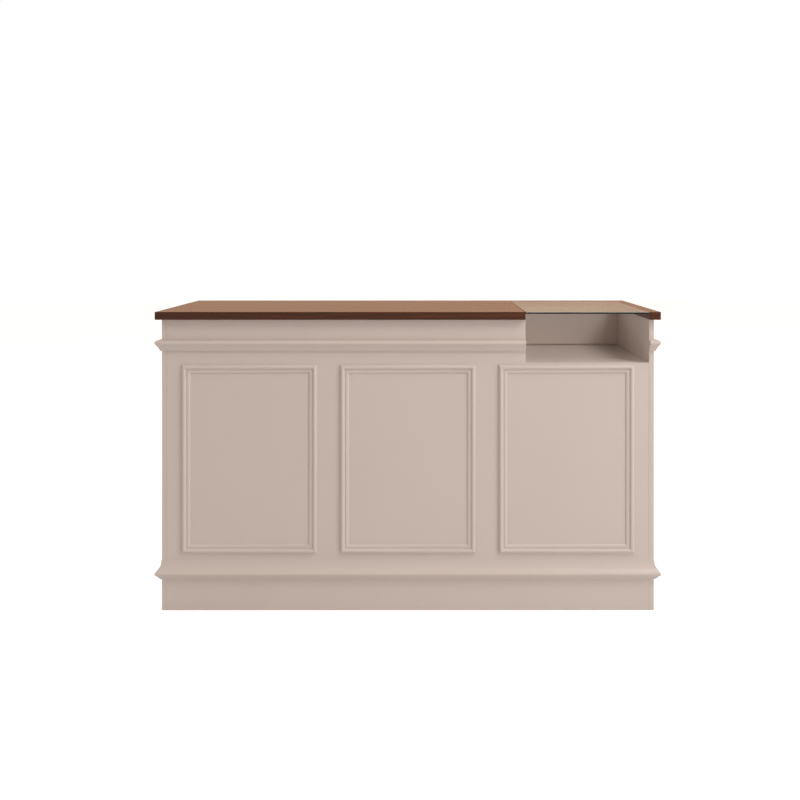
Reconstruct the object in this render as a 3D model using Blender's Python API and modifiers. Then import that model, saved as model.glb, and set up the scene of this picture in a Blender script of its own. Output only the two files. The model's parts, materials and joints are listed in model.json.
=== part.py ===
"""Checkout counter: walnut top, panelled front, glass-topped display recess, staff side with drawer and doors.

Customers stand on the -Y side and staff on the +Y side. Left and right are the customer's, so +X is
right. +Z is up, and the origin is on the floor under the middle of the top. All sizes are metres.
"""

import math

import bmesh
import bpy
from mathutils import Matrix, Vector

# Overall sizes
TOP_WIDTH = 1.600
TOP_DEPTH = 0.500
TOTAL_HEIGHT = 0.950

# Boards
TOP_THICKNESS = 0.025
TOP_EDGE_BEVEL = 0.0015
BOARD = 0.015  # carcass panels and shelves
FACE_BOARD = 0.018  # doors, drawer front and tray front
DRAWER_BOARD = 0.012
THIN_BOARD = 0.005  # drawer bottom

# How far the top stands out past the carcass
SIDE_OVERHANG = 0.018
FRONT_OVERHANG = 0.018
BACK_OVERHANG = 0.033

# Clearances
JOINT = 0.0003  # hairline between faces that touch
DOOR_GAP = 0.0025  # round doors, drawer front and tray front
STOP_GAP = 0.001  # between a closed door and the shelf that stops it
HOLE_PLAY = 0.0004

# Plinth
PLINTH_TOP = 0.115  # upper face of the bottom panel
TOE_RECESS = 0.050

# Display recess and its glass
DISPLAY_WIDTH = 0.393
DISPLAY_DROP = 0.163  # from the top face down to the recess floor
FOOT_GROOVE = 0.006  # dark groove along the foot of the recess back
TOP_STRIP_SIDE = 0.035  # wood left beside the glass
TOP_STRIP_BACK = 0.046  # wood left behind the glass
NOTCH_LEDGE = 0.002  # the notch starts this far over the left wall of the recess
GLASS_THICKNESS = 0.006
GLASS_GAP = 0.001
GLASS_BEVEL = 0.0006
PEG_RADIUS = 0.0025
PEG_SUNK = 0.012
PEG_PROUD = 0.008
PEG_INSET = 0.060

# Mouldings
MOULDING_OUT = 0.0175
FRIEZE_HEIGHT = 0.0655  # from the underside of the top down to the crown
CROWN_HEIGHT = 0.034
BASE_MOULDING_BOTTOM = 0.099
BASE_MOULDING_HEIGHT = 0.062
FRAME_STICK_WIDTH = 0.0285
FRAME_COUNT = 3
FRAME_MARGIN = 0.0625  # from the body's edge to the first frame
FRAME_GAP = 0.0715  # between two frames
FRAME_ABOVE_BASE = 0.021
FRAME_BELOW_DISPLAY = 0.005

# Bays and shelves
DRAWER_BAY_WIDTH = 0.450
SHELF_TOP = 0.440
CENTER_SHELF_TOP = 0.380

# Drawer slides: three nested channels, measured out from the cabinet wall
SLIDE_THICKNESS = 0.0127
SLIDE_HEIGHT = 0.035
SLIDE_GAUGE = 0.001
SLIDE_PLAY = 0.0005
SLIDE_SETBACK = 0.003
SLIDE_SHORTER = 0.030  # than the drawer

# Cash drawer
DRAWER_BACK_ROOM = 0.036  # behind the drawer box
DRAWER_SIDE_HEIGHT = 0.090
DRAWER_LIFT = 0.008  # gap under the drawer bottom

# Keyboard tray and the channels that it runs in
TRAY_DROP = 0.098  # from the underside of the top down to the tray
TRAY_BACK_ROOM = 0.056
TRAY_FRONT_HEIGHT = 0.040
RUNNER_GAUGE = 0.0015
RUNNER_DEPTH = 0.012
RUNNER_PLAY = 0.0007

# Cam lock
LOCK_DROP = 0.028  # from the underside of the top down to the lock's axis
LOCK_BODY_RADIUS = 0.0095
LOCK_FLANGE_RADIUS = 0.0115
LOCK_FLANGE = 0.002
LOCK_PLUG_RADIUS = 0.006
LOCK_INSIDE = 0.004  # how far the housing stands out inside the drawer
LOCK_STUD_RADIUS = 0.003
LOCK_STUD_PROUD = 0.001  # past the cam
CAM_WIDTH = 0.012
CAM_THICKNESS = 0.002
CAM_TIP_ROOM = 0.004  # between the raised cam and the top
STRIKE_GAUGE = 0.0015
STRIKE_LEG = 0.014
STRIKE_FLANGE = 0.020
STRIKE_WIDTH = 0.030
KEY_THICKNESS = 0.0016
KEY_BLADE_WIDTH = 0.0076
KEY_BLADE_LENGTH = 0.015
KEY_TIP = 0.002
KEY_BOW_RADIUS = 0.0085
KEY_SHOULDER = 0.003
KEY_RING_HOLE = 0.002

# Hinges and pulls
HINGE_KNUCKLES = 9  # the cabinet's leaf has the first, third and so on
HINGE_SHORTER = 0.003  # than the door, at each end
HINGE_LEAF_WIDTH = 0.015
HINGE_LEAF = 0.0007
HINGE_STANDOFF = 0.0005  # of the barrel from the face of the door
KNUCKLE_RADIUS = 0.003
KNUCKLE_PLAY = 0.0004
HINGE_PIN_RADIUS = 0.0013
HINGE_PIN_PLAY = 0.0003
KNOB_RADIUS = 0.012
KNOB_PROUD = 0.024
KNOB_INSET = 0.040
KNOB_DROP = 0.090
HANDLE_SPAN = 0.096
HANDLE_RADIUS = 0.004
HANDLE_PROUD = 0.022
HANDLE_BEND = 0.008
HANDLE_DROP = 0.051  # below the lock's axis

# Places that follow from the sizes above
SIDE_OUT = TOP_WIDTH / 2 - SIDE_OVERHANG
SIDE_IN = SIDE_OUT - BOARD
FRONT_Y = -TOP_DEPTH / 2 + FRONT_OVERHANG
FRONT_IN = FRONT_Y + BOARD
BACK_Y = TOP_DEPTH / 2 - BACK_OVERHANG
FACE_Y = BACK_Y - FACE_BOARD  # inner face of the doors and the drawer front
UNDER_TOP = TOTAL_HEIGHT - TOP_THICKNESS
DISPLAY_FLOOR = TOTAL_HEIGHT - DISPLAY_DROP
BAY_CEILING = DISPLAY_FLOOR - BOARD  # underside of the drawer divider and of the recess floor
DISPLAY_BAY = (SIDE_IN - DISPLAY_WIDTH, SIDE_IN)
DRAWER_BAY = (-SIDE_IN, -SIDE_IN + DRAWER_BAY_WIDTH)
CENTER_BAY = (DRAWER_BAY[1] + BOARD, DISPLAY_BAY[0] - BOARD)
NOTCH = (DISPLAY_BAY[0] - NOTCH_LEDGE, TOP_WIDTH / 2 - TOP_STRIP_SIDE)
NOTCH_BACK = TOP_DEPTH / 2 - TOP_STRIP_BACK
PEG_Z = TOTAL_HEIGHT - GLASS_THICKNESS - JOINT - PEG_RADIUS
CROWN_BOTTOM = UNDER_TOP - FRIEZE_HEIGHT - CROWN_HEIGHT
FRAME_Z = (
    BASE_MOULDING_BOTTOM + BASE_MOULDING_HEIGHT + FRAME_ABOVE_BASE,
    DISPLAY_FLOOR - FRAME_BELOW_DISPLAY,
)
DRAWER_FLOOR = DISPLAY_FLOOR + DRAWER_LIFT + THIN_BOARD
DRAWER_BOX_X = (DRAWER_BAY[0] + SLIDE_THICKNESS, DRAWER_BAY[1] - SLIDE_THICKNESS)
DRAWER_BACK = FRONT_IN + DRAWER_BACK_ROOM
SLIDE_Y = (DRAWER_BACK + SLIDE_SHORTER - SLIDE_SETBACK, FACE_Y - SLIDE_SETBACK)
TRAY_TOP = UNDER_TOP - TRAY_DROP
LOCK_X = sum(DRAWER_BAY) / 2
LOCK_Z = UNDER_TOP - LOCK_DROP
LOCK_FACE = BACK_Y + JOINT + LOCK_FLANGE
PLUG_END = FACE_Y - LOCK_INSIDE - JOINT
DOOR_Z = (PLINTH_TOP + DOOR_GAP, BAY_CEILING - DOOR_GAP)
HINGE_Y = BACK_Y + HINGE_STANDOFF + KNUCKLE_RADIUS
MITRE_GAP = JOINT * math.sqrt(2)  # along a stick, for a hairline across the mitre

ROUND = 16  # sides of a small round piece


# ---------------------------------------------------------------- scene and shape helpers


def collection(name, hidden=False):
    made = bpy.data.collections.new(name)
    bpy.context.scene.collection.children.link(made)
    made.hide_render = hidden
    return made


def material(name, colour, roughness, metallic=0.0, see_through=0.0):
    made = bpy.data.materials.new(name)
    made.use_nodes = True
    shader = made.node_tree.nodes["Principled BSDF"]
    shader.inputs["Base Color"].default_value = (*colour, 1.0)
    shader.inputs["Roughness"].default_value = roughness
    shader.inputs["Metallic"].default_value = metallic
    shader.inputs["Transmission Weight"].default_value = see_through
    return made


def attach(obj, parent):
    """Parents obj to an empty on its joint's axis and leaves it where it is."""
    if parent is None:
        return
    bpy.context.view_layer.update()
    obj.parent = parent
    obj.matrix_parent_inverse = parent.matrix_world.inverted()


def joint_empty(name, place, parent=None):
    made = bpy.data.objects.new(name, None)
    PARTS.objects.link(made)
    made.location = place
    attach(made, parent)
    return made


def add_object(name, mesh, finish, matrix=None, parent=None, smooth=False):
    made = bpy.data.objects.new(name, mesh)
    PARTS.objects.link(made)
    mesh.materials.clear()
    mesh.materials.append(finish)
    if smooth:
        mesh.shade_smooth()
        mesh.set_sharp_from_angle(angle=math.radians(35))
    if matrix is not None:
        made.matrix_world = matrix
    attach(made, parent)
    return made


def box_mesh(x, y, z):
    """A box mesh about its own middle, and the place of that middle."""
    low, high = Vector((x[0], y[0], z[0])), Vector((x[1], y[1], z[1]))
    bm = bmesh.new()
    bmesh.ops.create_cube(bm, size=1, matrix=Matrix.Diagonal((*(high - low), 1)))
    mesh = bpy.data.meshes.new("box")
    bm.to_mesh(mesh)
    bm.free()
    return mesh, Matrix.Translation((low + high) / 2)


def board(name, x, y, z, finish, parent=None):
    """A rectangular board between the low and high values of x, y and z."""
    mesh, place = box_mesh(x, y, z)
    return add_object(name, mesh, finish, place, parent)


def cylinder_mesh(radius, length, sides=ROUND):
    bm = bmesh.new()
    bmesh.ops.create_cone(bm, cap_ends=True, segments=sides, radius1=radius, radius2=radius, depth=length)
    mesh = bpy.data.meshes.new("cylinder")
    bm.to_mesh(mesh)
    bm.free()
    return mesh


def along(axis, middle):
    """Turns local Z onto axis and puts the origin at middle."""
    return Matrix.Translation(middle) @ Vector(axis).to_track_quat("Z", "Y").to_matrix().to_4x4()


def across(x_axis, y_axis, origin):
    """Local X and Y laid on two world directions, and local Z on their cross product."""
    x, y = Vector(x_axis), Vector(y_axis)
    matrix = Matrix((x, y, x.cross(y))).transposed().to_4x4()
    matrix.translation = origin
    return matrix


def combine(obj, mesh, matrix, operation="DIFFERENCE"):
    """Cuts a closed mesh out of obj, or joins it to obj with the operation UNION."""
    cutter = bpy.data.objects.new(f"{obj.name}_{operation.lower()}", mesh)
    CUTTERS.objects.link(cutter)
    cutter.matrix_world = matrix
    cutter.hide_render = True
    cutter.display_type = "WIRE"
    modifier = obj.modifiers.new(operation.lower(), "BOOLEAN")
    modifier.operation = operation
    modifier.solver = "EXACT"
    modifier.object = cutter


def bevel(obj, width, segments):
    modifier = obj.modifiers.new("arris", "BEVEL")
    modifier.width = width
    modifier.segments = segments
    modifier.limit_method = "ANGLE"


def finished_mesh(obj):
    """The evaluated mesh of obj with doubled points merged and its faces pointing out. obj is removed."""
    bpy.context.view_layer.update()
    graph = bpy.context.evaluated_depsgraph_get()
    mesh = bpy.data.meshes.new_from_object(obj.evaluated_get(graph))
    bpy.data.objects.remove(obj, do_unlink=True)
    bm = bmesh.new()
    bm.from_mesh(mesh)
    bmesh.ops.remove_doubles(bm, verts=bm.verts, dist=1e-6)
    bmesh.ops.recalc_face_normals(bm, faces=bm.faces)
    bm.to_mesh(mesh)
    bm.free()
    return mesh


def arc(centre, radius, start, end, steps):
    """Points along an arc, with its angles in degrees."""
    angles = [math.radians(start + (end - start) * i / steps) for i in range(steps + 1)]
    return [(centre[0] + radius * math.cos(a), centre[1] + radius * math.sin(a)) for a in angles]


def poly_curve(splines, cyclic, dimensions="2D"):
    curve = bpy.data.curves.new("outline", "CURVE")
    curve.dimensions = dimensions
    for points in splines:
        spline = curve.splines.new("POLY")
        spline.points.add(len(points) - 1)
        for point, place in zip(spline.points, points):
            point.co = (*place, *[0] * (3 - len(place)), 1)
        spline.use_cyclic_u = cyclic
    obj = bpy.data.objects.new("outline", curve)
    PARTS.objects.link(obj)
    return obj


def prism(outlines, length):
    """A closed mesh from flat outlines in local XY, from -length/2 to length/2 in Z. A second one is a hole."""
    obj = poly_curve(outlines, cyclic=True)
    obj.data.fill_mode = "BOTH"
    obj.data.extrude = length / 2
    return finished_mesh(obj)


def turned(profile, steps=ROUND, ring=False):
    """A mesh turned about local Z from (radius, height) points that run down the outer side."""
    points = [(radius, 0, height) for radius, height in profile]
    edges = [(i, i + 1) for i in range(len(points) - 1)]
    if ring:
        edges.append((len(points) - 1, 0))
    mesh = bpy.data.meshes.new("profile")
    mesh.from_pydata(points, edges, [])
    obj = bpy.data.objects.new("profile", mesh)
    PARTS.objects.link(obj)
    screw = obj.modifiers.new("turn", "SCREW")
    screw.steps = screw.render_steps = steps
    screw.use_merge_vertices = True
    screw.merge_threshold = 0.00001
    return finished_mesh(obj)


# ---------------------------------------------------------------- carcass


def carcass():
    """The upright panels stand on the floor. The others are dowelled between them."""
    inside = (FRONT_IN + JOINT, BACK_Y)
    upright = (PLINTH_TOP + JOINT, UNDER_TOP - JOINT)
    board("side_panel_left", (-SIDE_OUT, -SIDE_IN), (FRONT_Y, BACK_Y), (0, UNDER_TOP - JOINT), CREAM)
    board("side_panel_right", (SIDE_IN, SIDE_OUT), (FRONT_Y, BACK_Y), (0, UNDER_TOP - JOINT), CREAM)
    between = (-SIDE_IN + JOINT, SIDE_IN - JOINT)
    board("bottom_panel", between, inside, (PLINTH_TOP - BOARD, PLINTH_TOP), CREAM)
    toe_y = BACK_Y - TOE_RECESS
    board("toe_kick", between, (toe_y - BOARD, toe_y), (0, PLINTH_TOP - BOARD - JOINT), CREAM)
    for name, x in (("partition_left", DRAWER_BAY[1]), ("partition_right", CENTER_BAY[1])):
        board(name, (x, x + BOARD), inside, upright, CREAM)
    for name, bay in (("drawer_divider", DRAWER_BAY), ("display_floor", DISPLAY_BAY)):
        board(name, within(bay), inside, (BAY_CEILING, DISPLAY_FLOOR), CREAM)
    for name, bay, top, setback in (
        ("shelf_left", DRAWER_BAY, SHELF_TOP, FACE_BOARD + STOP_GAP),
        ("shelf_center", CENTER_BAY, CENTER_SHELF_TOP, 0),
        ("shelf_right", DISPLAY_BAY, SHELF_TOP, FACE_BOARD + STOP_GAP),
    ):
        board(name, within(bay), (inside[0], BACK_Y - setback), (top - BOARD, top), CREAM)


def within(bay):
    return bay[0] + JOINT, bay[1] - JOINT


def front_panel():
    """One L-shaped board between the side panels, open in front of the display recess."""
    left, right = -SIDE_IN + JOINT, SIDE_IN - JOINT
    top = UNDER_TOP - JOINT
    outline = [
        (left, 0),
        (right, 0),
        (right, DISPLAY_FLOOR),
        (DISPLAY_BAY[0], DISPLAY_FLOOR),
        (DISPLAY_BAY[0], top),
        (left, top),
    ]
    place = across((1, 0, 0), (0, 0, 1), (0, FRONT_Y + BOARD / 2, 0))
    add_object("front_panel", prism([outline], BOARD), CREAM, place)


def display_back():
    """Closes the recess towards the staff side, with a groove along its foot."""
    face = BACK_Y - BOARD
    low, high = DISPLAY_FLOOR + JOINT, UNDER_TOP - JOINT
    panel = board("display_back", within(DISPLAY_BAY), (face, BACK_Y), (low, high), CREAM)
    groove = (face - FOOT_GROOVE, face + FOOT_GROOVE)
    combine(panel, *box_mesh((DISPLAY_BAY[0] - BOARD, SIDE_OUT), groove, (low - JOINT, low + FOOT_GROOVE)))


# ---------------------------------------------------------------- top and glass


def countertop():
    """A board with a notch open to the front, and bored for the glass pegs."""
    half, front, back = TOP_WIDTH / 2, -TOP_DEPTH / 2, TOP_DEPTH / 2
    outline = [
        (-half, front),
        (NOTCH[0], front),
        (NOTCH[0], NOTCH_BACK),
        (NOTCH[1], NOTCH_BACK),
        (NOTCH[1], front),
        (half, front),
        (half, back),
        (-half, back),
    ]
    place = Matrix.Translation((0, 0, TOTAL_HEIGHT - TOP_THICKNESS / 2))
    top = add_object("countertop", prism([outline], TOP_THICKNESS), WALNUT, place)
    bevel(top, TOP_EDGE_BEVEL, 2)
    for _, wall, inward, y in pegs():
        depth = PEG_SUNK + HOLE_PLAY
        overshoot = PEG_PROUD
        middle = (wall - inward * (depth - overshoot) / 2, y, PEG_Z)
        hole = cylinder_mesh(PEG_RADIUS + HOLE_PLAY, depth + overshoot)
        combine(top, hole, along((1, 0, 0), middle))


def pegs():
    """Name, wall X, direction into the recess and Y of each peg."""
    for side, wall, inward in (("left", NOTCH[0], 1), ("right", NOTCH[1], -1)):
        yield f"glass_peg_{side}_front", wall, inward, -TOP_DEPTH / 2 + PEG_INSET
        yield f"glass_peg_{side}_back", wall, inward, NOTCH_BACK - PEG_INSET


def glass():
    """The glass lies flush in the notch on four pegs."""
    x = (NOTCH[0] + GLASS_GAP, NOTCH[1] - GLASS_GAP)
    y = (-TOP_DEPTH / 2, NOTCH_BACK - GLASS_GAP)
    bevel(board("display_glass", x, y, (TOTAL_HEIGHT - GLASS_THICKNESS, TOTAL_HEIGHT), GLASS), GLASS_BEVEL, 1)
    for name, wall, inward, y in pegs():
        middle = (wall + inward * (PEG_PROUD - PEG_SUNK) / 2, y, PEG_Z)
        peg = cylinder_mesh(PEG_RADIUS, PEG_SUNK + PEG_PROUD)
        add_object(name, peg, STEEL, along((1, 0, 0), middle), smooth=True)


# ---------------------------------------------------------------- mouldings


def crown_profile():
    """(out, up) from the crown's foot: a fillet, a shallow cove, a rounded nose and a nearly flat top."""
    over = 0.006
    cove = [(0.0062, 0.0048), (0.0078, 0.0098), (0.0105, 0.0148), (0.0138, 0.0190), (0.0160, 0.0215)]
    nose_foot = (MOULDING_OUT, 0.0233)
    tip = arc((MOULDING_OUT - over, CROWN_HEIGHT - 0.001 - over), over, 0, 80, 4)
    return [(0, 0), (0.0050, 0), (0.0050, 0.0035), *cove, nose_foot, *tip, (0, CROWN_HEIGHT)]


def base_profile():
    """(out, up) from the base moulding's foot: a rising cove, a small nose, and a long cove up to the wall."""
    under = [(0.0025, 0.0010), (0.0055, 0.0030), (0.0085, 0.0070), (0.0115, 0.0125), (0.0140, 0.0165)]
    nose = [(0.0165, 0.0185), (MOULDING_OUT, 0.0210), (0.0168, 0.0240), (0.0148, 0.0270)]
    cove = [(0.0115, 0.0310), (0.0080, 0.0360), (0.0050, 0.0420), (0.0028, 0.0490), (0.0016, 0.0560)]
    return [(0, 0), (0.0010, 0), *under, *nose, *cove, (0.0012, 0.0600), (0, BASE_MOULDING_HEIGHT)]


def frame_profile():
    """(out, across) of a panel frame, across counted inward from its outer edge: a large and a small bead."""
    foot, bead = 0.0022, 0.0056
    big = arc((foot, 0.0076), bead, -60, 52, 4)
    small = [(0.0040, 0.0192), (0.0034, 0.0220), (0.0023, 0.0252), (0.0011, 0.0275)]
    return [(0, 0), (foot, 0.0010), *big, (0.0034, 0.0178), *small, (0, FRAME_STICK_WIDTH)]


def stick(name, profile, out, left, right, mitre_left=False, mitre_right=False):
    """A moulding from left to right as seen by someone who faces it; out is the way its face looks."""
    left, right = Vector(left), Vector(right)
    mesh = prism([profile], (right - left).length)
    for vertex in mesh.vertices:
        if vertex.co.z > 0 and mitre_left:
            vertex.co.z += vertex.co.x
        if vertex.co.z < 0 and mitre_right:
            vertex.co.z -= vertex.co.x
    add_object(name, mesh, CREAM, across(out, (0, 0, 1), (left + right) / 2), smooth=True)


def crown_and_base():
    """Both mouldings wrap the front and the sides, mitred at the front corners."""
    front, side = FRONT_Y - JOINT, SIDE_OUT + JOINT
    corner = side - MITRE_GAP
    to_customer, to_left, to_right = (0, -1, 0), (-1, 0, 0), (1, 0, 0)
    crown, base = crown_profile(), base_profile()
    z = CROWN_BOTTOM
    stick("crown_front", crown, to_customer, (-corner, front, z), (DISPLAY_BAY[0], front, z), True)
    stick("crown_return", crown, to_customer, (SIDE_IN, front, z), (corner, front, z), False, True)
    stick("crown_left", crown, to_left, (-side, BACK_Y, z), (-side, front, z), False, True)
    stick("crown_right", crown, to_right, (side, front, z), (side, BACK_Y, z), True)
    z = BASE_MOULDING_BOTTOM
    stick("base_moulding_front", base, to_customer, (-corner, front, z), (corner, front, z), True, True)
    stick("base_moulding_left", base, to_left, (-side, BACK_Y, z), (-side, front, z), False, True)
    stick("base_moulding_right", base, to_right, (side, front, z), (side, BACK_Y, z), True)


def panel_frame(name, width, out, along_width, middle):
    """A mitred frame: its profile is turned in four steps, then the corners are moved out to its size."""
    height = FRAME_Z[1] - FRAME_Z[0]
    reference = 2 * FRAME_STICK_WIDTH
    ring = turned([(math.sqrt(2) * (reference - a), o) for o, a in frame_profile()], steps=4, ring=True)
    ring.transform(Matrix.Rotation(math.radians(45), 4, "Z"))
    for vertex in ring.vertices:
        vertex.co.x += math.copysign(width / 2 - reference, vertex.co.x)
        vertex.co.y += math.copysign(height / 2 - reference, vertex.co.y)
    place = across(along_width, (0, 0, 1), middle)
    if Vector(along_width).cross(Vector((0, 0, 1))).dot(Vector(out)) < 0:
        raise ValueError("a frame's face has to look out of the counter")
    add_object(name, ring, CREAM, place)


def panel_frames():
    middle_z = sum(FRAME_Z) / 2
    body = 2 * SIDE_OUT
    width = (body - 2 * FRAME_MARGIN - (FRAME_COUNT - 1) * FRAME_GAP) / FRAME_COUNT
    for i, place in enumerate(("left", "center", "right")):
        x = -SIDE_OUT + FRAME_MARGIN + width / 2 + i * (width + FRAME_GAP)
        middle = (x, FRONT_Y - JOINT, middle_z)
        panel_frame(f"panel_frame_{place}", width, (0, -1, 0), (1, 0, 0), middle)
    side_width = BACK_Y - FRONT_Y - 2 * FRAME_MARGIN
    side_y = (BACK_Y + FRONT_Y) / 2
    for place, side in (("left", -1), ("right", 1)):
        middle = (side * (SIDE_OUT + JOINT), side_y, middle_z)
        panel_frame(f"side_frame_{place}", side_width, (side, 0, 0), (0, side, 0), middle)


# ---------------------------------------------------------------- cash drawer


def channel_outline(depth, height, gauge):
    """A C section: the web stands on local Y at X = 0, and the lips reach to X = depth."""
    half = height / 2
    inner = half - gauge
    return [
        (0, -half),
        (depth, -half),
        (depth, -inner),
        (gauge, -inner),
        (gauge, inner),
        (depth, inner),
        (depth, half),
        (0, half),
    ]


def channel(name, outline, web_x, inward, z, y, parent=None):
    """A channel along Y whose web starts at web_x and whose lips point inward, +1 or -1 in X."""
    place = across((inward, 0, 0), (0, 0, 1), (web_x, sum(y) / 2, z))
    add_object(name, prism([outline], y[1] - y[0]), STEEL, place, parent)


def drawer_slides(drawer, middle):
    """Each side has a channel on the cabinet, one on the drawer, and one between them."""
    z = DRAWER_FLOOR + JOINT + DRAWER_SIDE_HEIGHT / 2
    step = SLIDE_GAUGE + SLIDE_PLAY
    reach = SLIDE_THICKNESS - 2 * JOINT - 2 * step
    for side, wall, inward in (("left", DRAWER_BAY[0], 1), ("right", DRAWER_BAY[1], -1)):
        outer_web = wall + inward * JOINT
        middle_web = outer_web + inward * step
        inner_web = wall + inward * (SLIDE_THICKNESS - JOINT)
        outer = channel_outline(reach, SLIDE_HEIGHT, SLIDE_GAUGE)
        nested = channel_outline(reach, SLIDE_HEIGHT - 2 * step, SLIDE_GAUGE)
        inner = channel_outline(reach, SLIDE_HEIGHT - 4 * step, SLIDE_GAUGE)
        channel(f"drawer_slide_{side}_outer", outer, outer_web, inward, z, SLIDE_Y)
        channel(f"drawer_slide_{side}_middle", nested, middle_web, inward, z, SLIDE_Y, middle)
        channel(f"drawer_slide_{side}_inner", inner, inner_web, -inward, z, SLIDE_Y, drawer)


def drawer_box(drawer):
    left, right = DRAWER_BOX_X
    floor = DRAWER_FLOOR + JOINT
    sides_z = (floor, floor + DRAWER_SIDE_HEIGHT)
    depth = (DRAWER_BACK, FACE_Y - JOINT)
    bottom_z = (DRAWER_FLOOR - THIN_BOARD, DRAWER_FLOOR)
    board("drawer_side_left", (left, left + DRAWER_BOARD), depth, sides_z, WHITE_BOARD, drawer)
    board("drawer_side_right", (right - DRAWER_BOARD, right), depth, sides_z, WHITE_BOARD, drawer)
    between = (left + DRAWER_BOARD + JOINT, right - DRAWER_BOARD - JOINT)
    board("drawer_back", between, (DRAWER_BACK, DRAWER_BACK + DRAWER_BOARD), sides_z, WHITE_BOARD, drawer)
    board("drawer_bottom", (left, right), depth, bottom_z, WHITE_BOARD, drawer)


def drawer_front(drawer):
    x = (DRAWER_BAY[0] + DOOR_GAP, DRAWER_BAY[1] - DOOR_GAP)
    z = (DISPLAY_FLOOR + DOOR_GAP, UNDER_TOP - DOOR_GAP)
    front = board("drawer_front", x, (FACE_Y, BACK_Y), z, CREAM, drawer)
    hole = cylinder_mesh(LOCK_BODY_RADIUS + HOLE_PLAY, 2 * FACE_BOARD)
    combine(front, hole, along((0, 1, 0), (LOCK_X, (FACE_Y + BACK_Y) / 2, LOCK_Z)))


def drawer_handle(drawer):
    """A round bar bent into a bow."""
    half, foot, bar = HANDLE_SPAN / 2, BACK_Y + JOINT, BACK_Y + JOINT + HANDLE_PROUD
    right = arc((half - HANDLE_BEND, bar - HANDLE_BEND), HANDLE_BEND, 0, 90, 4)
    left = arc((HANDLE_BEND - half, bar - HANDLE_BEND), HANDLE_BEND, 90, 180, 4)
    path = [(half, foot), *right, *left, (-half, foot)]
    obj = poly_curve([[(LOCK_X + x, y, LOCK_Z - HANDLE_DROP) for x, y in path]], False, "3D")
    obj.data.bevel_depth = HANDLE_RADIUS
    obj.data.bevel_resolution = 2
    obj.data.use_fill_caps = True
    add_object("drawer_handle", finished_mesh(obj), BRASS, parent=drawer, smooth=True)


# ---------------------------------------------------------------- cam lock


def lock_housing(drawer):
    """A flanged tube through the drawer front. Heights are counted from the front's outer face."""
    bore = LOCK_PLUG_RADIUS + HOLE_PLAY
    face, inner_end = JOINT + LOCK_FLANGE, -FACE_BOARD - LOCK_INSIDE
    profile = [
        (bore, face),
        (LOCK_FLANGE_RADIUS - LOCK_FLANGE / 2, face),
        (LOCK_FLANGE_RADIUS, face - LOCK_FLANGE / 2),
        (LOCK_FLANGE_RADIUS, JOINT),
        (LOCK_BODY_RADIUS, JOINT),
        (LOCK_BODY_RADIUS, inner_end),
        (bore, inner_end),
    ]
    place = along((0, 1, 0), (LOCK_X, BACK_Y, LOCK_Z))
    add_object("lock_housing", turned(profile, ring=True), STEEL, place, drawer, smooth=True)


def lock_plug(lock):
    """The turning core, with a key slot in its face and a stud for the cam at its inner end."""
    stud_end = PLUG_END - JOINT - CAM_THICKNESS - LOCK_STUD_PROUD
    profile = [
        (0, LOCK_FACE),
        (LOCK_PLUG_RADIUS, LOCK_FACE),
        (LOCK_PLUG_RADIUS, PLUG_END),
        (LOCK_STUD_RADIUS, PLUG_END),
        (LOCK_STUD_RADIUS, stud_end),
        (0, stud_end),
    ]
    mesh = turned([(radius, y - BACK_Y) for radius, y in profile])
    place = along((0, 1, 0), (LOCK_X, BACK_Y, LOCK_Z))
    plug = add_object("lock_plug", mesh, STEEL, place, lock, smooth=True)
    half = KEY_BLADE_WIDTH / 2 + HOLE_PLAY
    height = KEY_THICKNESS / 2 + HOLE_PLAY
    slot_x = (LOCK_X - half, LOCK_X + half)
    slot_y = (LOCK_FACE - KEY_BLADE_LENGTH - HOLE_PLAY, LOCK_FACE + KEY_SHOULDER)
    combine(plug, *box_mesh(slot_x, slot_y, (LOCK_Z - height, LOCK_Z + height)))


def lock_cam(lock):
    """A rounded bar on the plug's stud. It lies flat when unlocked and stands up behind the strike."""
    half = CAM_WIDTH / 2
    reach = LOCK_DROP - CAM_TIP_ROOM - half
    outline = [*arc((0, 0), half, 90, 270, 8), *arc((reach, 0), half, -90, 90, 8)]
    hole = arc((0, 0), LOCK_STUD_RADIUS + HOLE_PLAY, 0, 330, 11)
    y = PLUG_END - JOINT - CAM_THICKNESS / 2
    place = across((1, 0, 0), (0, 0, 1), (LOCK_X, y, LOCK_Z))
    add_object("lock_cam", prism([outline, hole], CAM_THICKNESS), STEEL, place, lock)


def key(lock):
    """A flat key: blade in the plug, round bow outside. Local Y runs out of the lock from the plug's face."""
    half, bow = KEY_BLADE_WIDTH / 2, KEY_BOW_RADIUS
    middle = KEY_SHOULDER + bow
    opening = math.degrees(math.asin(half / bow))
    outline = [
        (half - KEY_TIP, -KEY_BLADE_LENGTH),
        (half, KEY_TIP - KEY_BLADE_LENGTH),
        *arc((0, middle), bow, opening - 90, 270 - opening, 14),
        (-half, KEY_TIP - KEY_BLADE_LENGTH),
        (KEY_TIP - half, -KEY_BLADE_LENGTH),
    ]
    hole = arc((0, middle + bow / 2), KEY_RING_HOLE, 0, 315, 7)
    place = across((1, 0, 0), (0, 1, 0), (LOCK_X, LOCK_FACE, LOCK_Z))
    add_object("key", prism([outline, hole], KEY_THICKNESS), BRASS, place, lock)


def lock_strike():
    """An angle under the top. The raised cam catches behind its hanging leg."""
    top, gauge = UNDER_TOP - JOINT, STRIKE_GAUGE
    leg = (FACE_Y + PLUG_END - JOINT + gauge) / 2
    outline = [
        (leg, top),
        (leg - STRIKE_FLANGE, top),
        (leg - STRIKE_FLANGE, top - gauge),
        (leg - gauge, top - gauge),
        (leg - gauge, top - STRIKE_LEG),
        (leg, top - STRIKE_LEG),
    ]
    place = across((0, 1, 0), (0, 0, 1), (LOCK_X, 0, 0))
    add_object("lock_strike", prism([outline], STRIKE_WIDTH), STEEL, place)


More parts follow.
